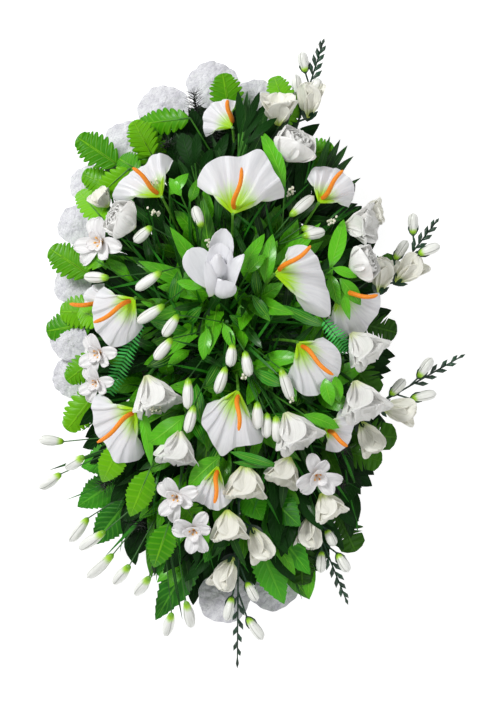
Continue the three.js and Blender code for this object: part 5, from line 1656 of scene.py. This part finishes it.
def clear_of_flowers(foot, tip, arch, room):
    """Whether a blade keeps off the flowers, and does not lie over a carnation."""
    for share in (0.3, 0.45, 0.6, 0.75, 0.88, 1.0):
        spot = mix(foot, tip, share) + vec(0, 0, 4 * arch * share * (1 - share))
        if any(math.hypot(spot[0] - x, spot[1] - y) < 0.8 * radius for x, y, radius, *_ in carnation_heads):
            return False
        _, _, _, distance = flower_tree.find_nearest(Vector(spot * MM))
        if distance < room * MM:
            return False
    return True


print("faces that the filling keeps clear of:", len(flower_faces))

# %% [markdown]
# A blade's tip is drawn first: how far round and out it is, and how deep under the mound. Deeper
# leaves are darker, as less light falls on them. The blade then leans outwards, away from a point
# low in the middle. It gets a thin stem, unless it would stick far out of the foam.

# %% Blades by rule
TRIES = 12
RIM_RIGHT, OLIVE_FROM = 148, 112
THREAD = (1.0, 0.8)
SHALLOW = 0.95
filler = random.Random(4)
filling_stems = Bunch()


def scatter(count, lengths, below, width, blank, outline, bunch, room=4.0, spread=0.96, lean=1.0,
            rim=0.0, top=400, right=None):
    """Blades that stand in the foam and end under the mound, between the shares rim and spread of it."""
    laid = 0
    for _ in range(count * TRIES):
        if laid >= count:
            break
        turn = TURN * filler.random()
        out = math.sqrt(mix(rim * rim, 1, filler.random())) * spread
        x = MOUND["x"] + MOUND["half_width"] * out * math.cos(turn)
        y = MOUND["y"] + MOUND["half_length"] * out * math.sin(turn)
        if y > top or x > RIM_RIGHT:
            continue
        depth = filler.random()
        tip = over_mound(x, y, -mix(*below, depth))
        length = mix(*lengths, filler.random())
        centre = vec(mix(MOUND["x"], x, 0.3), mix(MOUND["y"], y, 0.3), 40)
        drift = vec(filler.uniform(-0.5, 0.5), filler.uniform(-0.5, 0.5), 0)
        foot = tip - unit(unit(tip - centre) * vec(1, 1, 0.5 * lean) + drift) * length
        foot[2] = max(foot[2], 16)
        arch = 0.1 * length
        if not clear_of_flowers(foot, tip, arch, room):
            continue
        wide = mix(*width, filler.random())
        points = blade_points(blank, foot, tip, wide, arch, outline, fold=0.2, wave=0.03,
                              roll=filler.uniform(-25, 25))
        home = right if right and x > OLIVE_FROM else bunch
        # The shade given here is mostly painted shade: a leaf laid deeper gets a darker tone.
        home.lay(blank, points, mix(1 - depth, filler.random(), 0.3))
        laid += 1
        root = root_under(foot, SHALLOW)
        if foot[2] > 30 and np.linalg.norm(foot - root) < 120:
            stem(filling_stems, [root, foot], *THREAD)
    return laid


print("tries for each blade:", TRIES)

# %% [markdown]
# Where one would still look right through to the floor, a ray from above meets nothing. A dark leaf
# is laid low under each such spot, and its near-black finish is painted shade.

# %% Leaves under bare spots
DOWN = Vector((0, 0, -1))


def bare_spots(step, share):
    """Where one looks right through to the floor."""
    kept = [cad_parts[name] for name in ("backing_board", "foam_pad")]
    graph = bpy.context.evaluated_depsgraph_get()
    trees = [BVHTree.FromObject(thing, graph) for thing in made_pieces + kept]
    for x in np.arange(-MOUND["half_width"], MOUND["half_width"], step) + MOUND["x"]:
        for y in np.arange(-MOUND["half_length"], MOUND["half_length"], step) + MOUND["y"]:
            above = Vector((x * MM, y * MM, 0.5))
            if from_middle(x, y) < share and not any(tree.ray_cast(above, DOWN)[0] for tree in trees):
                yield x, y


def cover(bunch, step, share):
    """Dark leaves low under the bare spots, each with its stem in the foam."""
    covered = []
    for x, y in bare_spots(step, share):
        if any(math.hypot(x - a, y - b) < 9 for a, b in covered):
            continue
        covered.append((x, y))
        spot = vec(x, y, filler.uniform(24, 40))
        drift = vec(filler.uniform(-40, 40), filler.uniform(-40, 40), 0)
        way = unit(vec(x - MOUND["x"], 0.8 * (y - MOUND["y"]), 0) + drift)
        foot, tip = spot - way * 36, spot + way * filler.uniform(18, 26)
        points = blade_points(BLADE_BLANK, foot, tip, filler.uniform(22, 28), 4, OVAL, fold=0.15, wave=0.03,
                              roll=filler.uniform(-15, 15))
        bunch.lay(BLADE_BLANK, points, filler.random())
        stem(filling_stems, [root_under(foot, SHALLOW), foot], *THREAD)
    return len(covered)


print("the filling's stems so far:", len(filling_stems.points))

# %% [markdown]
# Last come the single pieces that are seen in places of their own: threads with tiny cream pips,
# bright, ribbon-striped and shady leaves, and the tips of ferns and saw leaves along the rim. A leaf
# is a row of foot, tip, lift over the mound, and width.

# %% Pips and single leaves
PIPS = [
    (53, 223, 24), (110, 181, 24), (-136, 232, 38), (-139, 193, 24), (-135, -79, 30), (-12, -33, 24),
    (54, -63, 30), (-60, 150, 24),
]


def pip_spray(pips, x, y, lift):
    """A thread with tiny cream pips."""
    top = over_mound(x, y, lift)
    base = over_mound(x * 0.9, y * 0.94, -20)
    stem(filling_stems, [base, top], 0.6)
    for k in range(12):
        drift = vec(filler.uniform(-4, 4), filler.uniform(-4, 4), filler.uniform(-2, 3))
        place = mix(top, base, 0.06 * k) + drift
        bead = tube(SEED_BLANK, [place, place + vec(2, 4, 3)], lambda t: 1.7 * np.sin(math.pi * t))
        pips.lay(SEED_BLANK, bead, k / 12)


SINGLE_LOOKS = {"bright": (OVAL, LEAF_MID), "ribbon": (LANCE, STRIPED), "shady": (LANCE, LEAF)}
SINGLE_LEAVES = {
    "ribbon": [
        (0, 79, 24, 47, 6, 15), (39, 66, 98, 38, 2, 16), (2, -22, 42, -42, 10, 18),
        (36, -152, -30, -132, 12, 13), (34, -150, -26, -146, 8, 10),
    ],
    "bright": [
        (-92, -84, -141, -122, 14, 30), (-150, -69, -136, -152, 10, 15), (-44, -139, -86, -179, 8, 28),
        (44, 226, 12, 302, 24, 22), (-18, 112, 17, 162, 4, 18), (-6, 110, 18, 134, 10, 15),
        (18, 96, 28, 162, 0, 23), (-68, 90, -102, 98, 8, 14), (106, 116, 124, 182, 14, 22),
        (106, 108, 118, 66, 12, 18), (98, -33, 108, -70, 22, 20), (112, -30, 118, -66, 20, 16),
        (70, -82, 118, -100, 24, 18), (-112, 216, -86, 244, 10, 16), (-96, 214, -112, 238, 12, 14),
        (-84, 206, -74, 236, 8, 14), (-60, 34, -66, -8, 2, 18), (-38, 40, -24, 6, 4, 15),
        (109, 116, 142, 104, 20, 14), (119, 102, 147, 66, 18, 20), (118, 96, 132, 46, 14, 13),
    ],
    "shady": [
        (-148, -160, -188, -200, -34, 24), (-136, -196, -176, -228, -30, 22),
        (-176, 246, -204, 268, -30, 22), (-160, 236, -196, 246, -34, 24),
        (-60, -232, -72, -262, -30, 22), (-150, 186, -180, 204, -34, 22),
        (140, -176, 124, -204, -34, 20), (-18, 298, -19, 356, 30, 11), (-12, 300, 10, 355, 32, 11),
        (-12, 288, 19, 339, 26, 12), (-8, 283, 34, 320, 24, 12), (-82, 255, -95, 300, 12, 24),
        (-77, 258, -74, 300, 14, 14), (-70, 250, -54, 278, 8, 14),
    ],
}
FERN_TIPS = [
    (-166, 252, -210, 214, 14), (-150, 246, -184, 268, 8), (-200, 120, -232, 140, 8),
    (-196, 40, -238, 62, 4), (-84, 321, -156, 313, -4), (50, 326, 29, 381, 4),
    (-196, 176, -240, 226, 8), (-96, -196, -70, -238, 2),
]
SAW_TIPS = [
    (-112, -228, -134, -292, 12), (-138, -156, -166, -222, 10), (-176, -120, -204, -176, 12),
]


def own_stem(foot, tip):
    stem(filling_stems, stem_route(root_under(foot), foot, unit(tip - foot + vec(0, 0, 20))), 1.2)


def single_leaf(bunch, outline, x0, y0, x1, y1, lift, width, seed):
    """One leaf in its seen place, on a stem of its own."""
    foot, tip = over_mound(x0, y0, lift - 6), over_mound(x1, y1, lift)
    points = blade_points(BLADE_BLANK, foot, tip, width, 0.12 * math.hypot(x1 - x0, y1 - y0), outline,
                          fold=0.12, wave=0.04, roll=12 * math.sin(seed))
    bunch.lay(BLADE_BLANK, points, (0.3 * seed) % 1 * 0.5 + 0.5)
    own_stem(foot, tip)


def rim_tips(bunch, draw, kind, spots, width, seed):
    """Single tips of ferns or saw leaves, each on a stem of its own."""
    for k, (x0, y0, x1, y1, lift) in enumerate(spots):
        foot, end = over_mound(x0, y0, lift - 4), over_mound(x1, y1, lift)
        length = np.linalg.norm(end - foot)
        draw(bunch, filling_stems, kind, frond_place(foot, end), length, 2, width, k + seed)
        own_stem(foot, end)


print("single leaves:", {kind: len(leaves) for kind, leaves in SINGLE_LEAVES.items()})

# %% [markdown]
# The drawn blades come in six sorts, from broad bright ones near the top to dark ones that lean
# outwards under the rim, whose near-black finish is painted shade. On the right the broad ones are olive.

# %% Make the filling
ovals, lances, grasses, stripes, dark, olive = (Bunch() for _ in range(6))
counts = [
    scatter(130, (42, 70), (8, 44), (16, 24), BLADE_BLANK, OVAL, ovals, top=235, right=olive),
    scatter(110, (50, 80), (20, 60), (16, 26), BLADE_BLANK, OVAL, dark, spread=0.9),
    scatter(80, (50, 80), (4, 30), (9, 14), BLADE_BLANK, LANCE, lances),
    scatter(220, (60, 110), (0, 30), (3, 5), GRASS_BLANK, GRASS, grasses, room=3.0, top=280),
    scatter(16, (50, 66), (2, 12), (15, 19), BLADE_BLANK, LANCE, stripes, spread=0.5),
    scatter(120, (50, 80), (10, 36), (16, 24), BLADE_BLANK, OVAL, dark, spread=0.93, rim=0.74, lean=0.3),
]
for name, bunch, finish in [("ovals", ovals, LEAF_MID), ("olive", olive, FERN_DARK), ("dark", dark, LEAF),
                            ("lances", lances, LANCE_LEAF), ("grass", grasses, GRASS_LEAF),
                            ("striped", stripes, STRIPED)]:
    piece(bunch, "filling_" + name, finish, (), "leaf", thick=THIN_CLOTH)
under, pips = Bunch(), Bunch()
counts.append(cover(under, 5, 0.85))
piece(under, "filling_under", LEAF, (), "leaf", thick=THIN_CLOTH)
for spot in PIPS:
    pip_spray(pips, *spot)
piece(pips, "filling_pips", PIP, (), "cream")
print("filling blades:", counts)

# %% Make the single pieces
singles = {kind: Bunch() for kind in SINGLE_LOOKS}
seeds = itertools.count()
for kind, leaves in SINGLE_LEAVES.items():
    for leaf in leaves:
        single_leaf(singles[kind], SINGLE_LOOKS[kind][0], *leaf, next(seeds))
for kind, (_, finish) in SINGLE_LOOKS.items():
    piece(singles[kind], "single_" + kind, finish, (), "leaf", thick=THIN_CLOTH)
for name, draw, kind, spots, width, seed in [("ferns", fern_leaf, FERN, FERN_TIPS, 34, 2),
                                             ("saws", saw_leaf, SAW, SAW_TIPS, 42, 3)]:
    tips = Bunch()
    rim_tips(tips, draw, kind, spots, width, seed)
    piece(tips, "single_" + name, FERN_LEAF, (), "fern", thick=THIN_CLOTH)
piece(filling_stems, "filling_stems", STEM_MID, (), "leaf")
print("stems of the filling:", len(filling_stems.points))

# %% [markdown]
# ## Floor and light
#
# The object was lit softly from the upper left, on white. A large soft lamp stands there, a weaker
# one fills the shadows from the lower right, the sky is an even white, and the floor is plain and
# pale.

# %% Stage
bpy.ops.object.select_all(action="DESELECT")
bpy.ops.mesh.primitive_plane_add(size=30, location=(0, 0, -0.0005))
floor = bpy.context.object
floor.name = "floor"
floor_paint = Paint("floor_white", Roughness=0.9, Base_Color=(0.35, 0.35, 0.35, 1),
                    Emission_Color=(1, 1, 1, 1), Emission_Strength=0.88)
floor.data.materials.append(floor_paint.material)

def soft_lamp(name, place, size, power):
    bpy.ops.object.light_add(type="AREA", location=place)
    lamp = bpy.context.object
    lamp.name = name
    lamp.data.size = size
    lamp.data.energy = power
    towards = Vector((0, 0, 0.1)) - Vector(place)
    lamp.rotation_euler = towards.to_track_quat("-Z", "Y").to_euler()
    lamp.visible_camera = False


soft_lamp("key_lamp", (-1.8, 1.55, 2.6), 0.9, 76)
soft_lamp("fill_lamp", (1.2, -1.6, 2.2), 1.6, 17)
world = bpy.data.worlds.new("studio")
world.use_nodes = True
sky = world.node_tree.nodes["Background"]
sky.inputs["Color"].default_value = (1, 1, 1, 1)
sky.inputs["Strength"].default_value = 0.4
bpy.context.scene.world = world
bpy.context.scene.view_settings.view_transform = "Standard"
bpy.context.scene.view_settings.look = "None"

# %% Sizes and end
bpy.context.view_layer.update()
triangles = sum(sum(len(face.vertices) - 2 for face in thing.data.polygons) for thing in made_pieces)
print("pieces:", len(made_pieces), "triangles:", triangles)
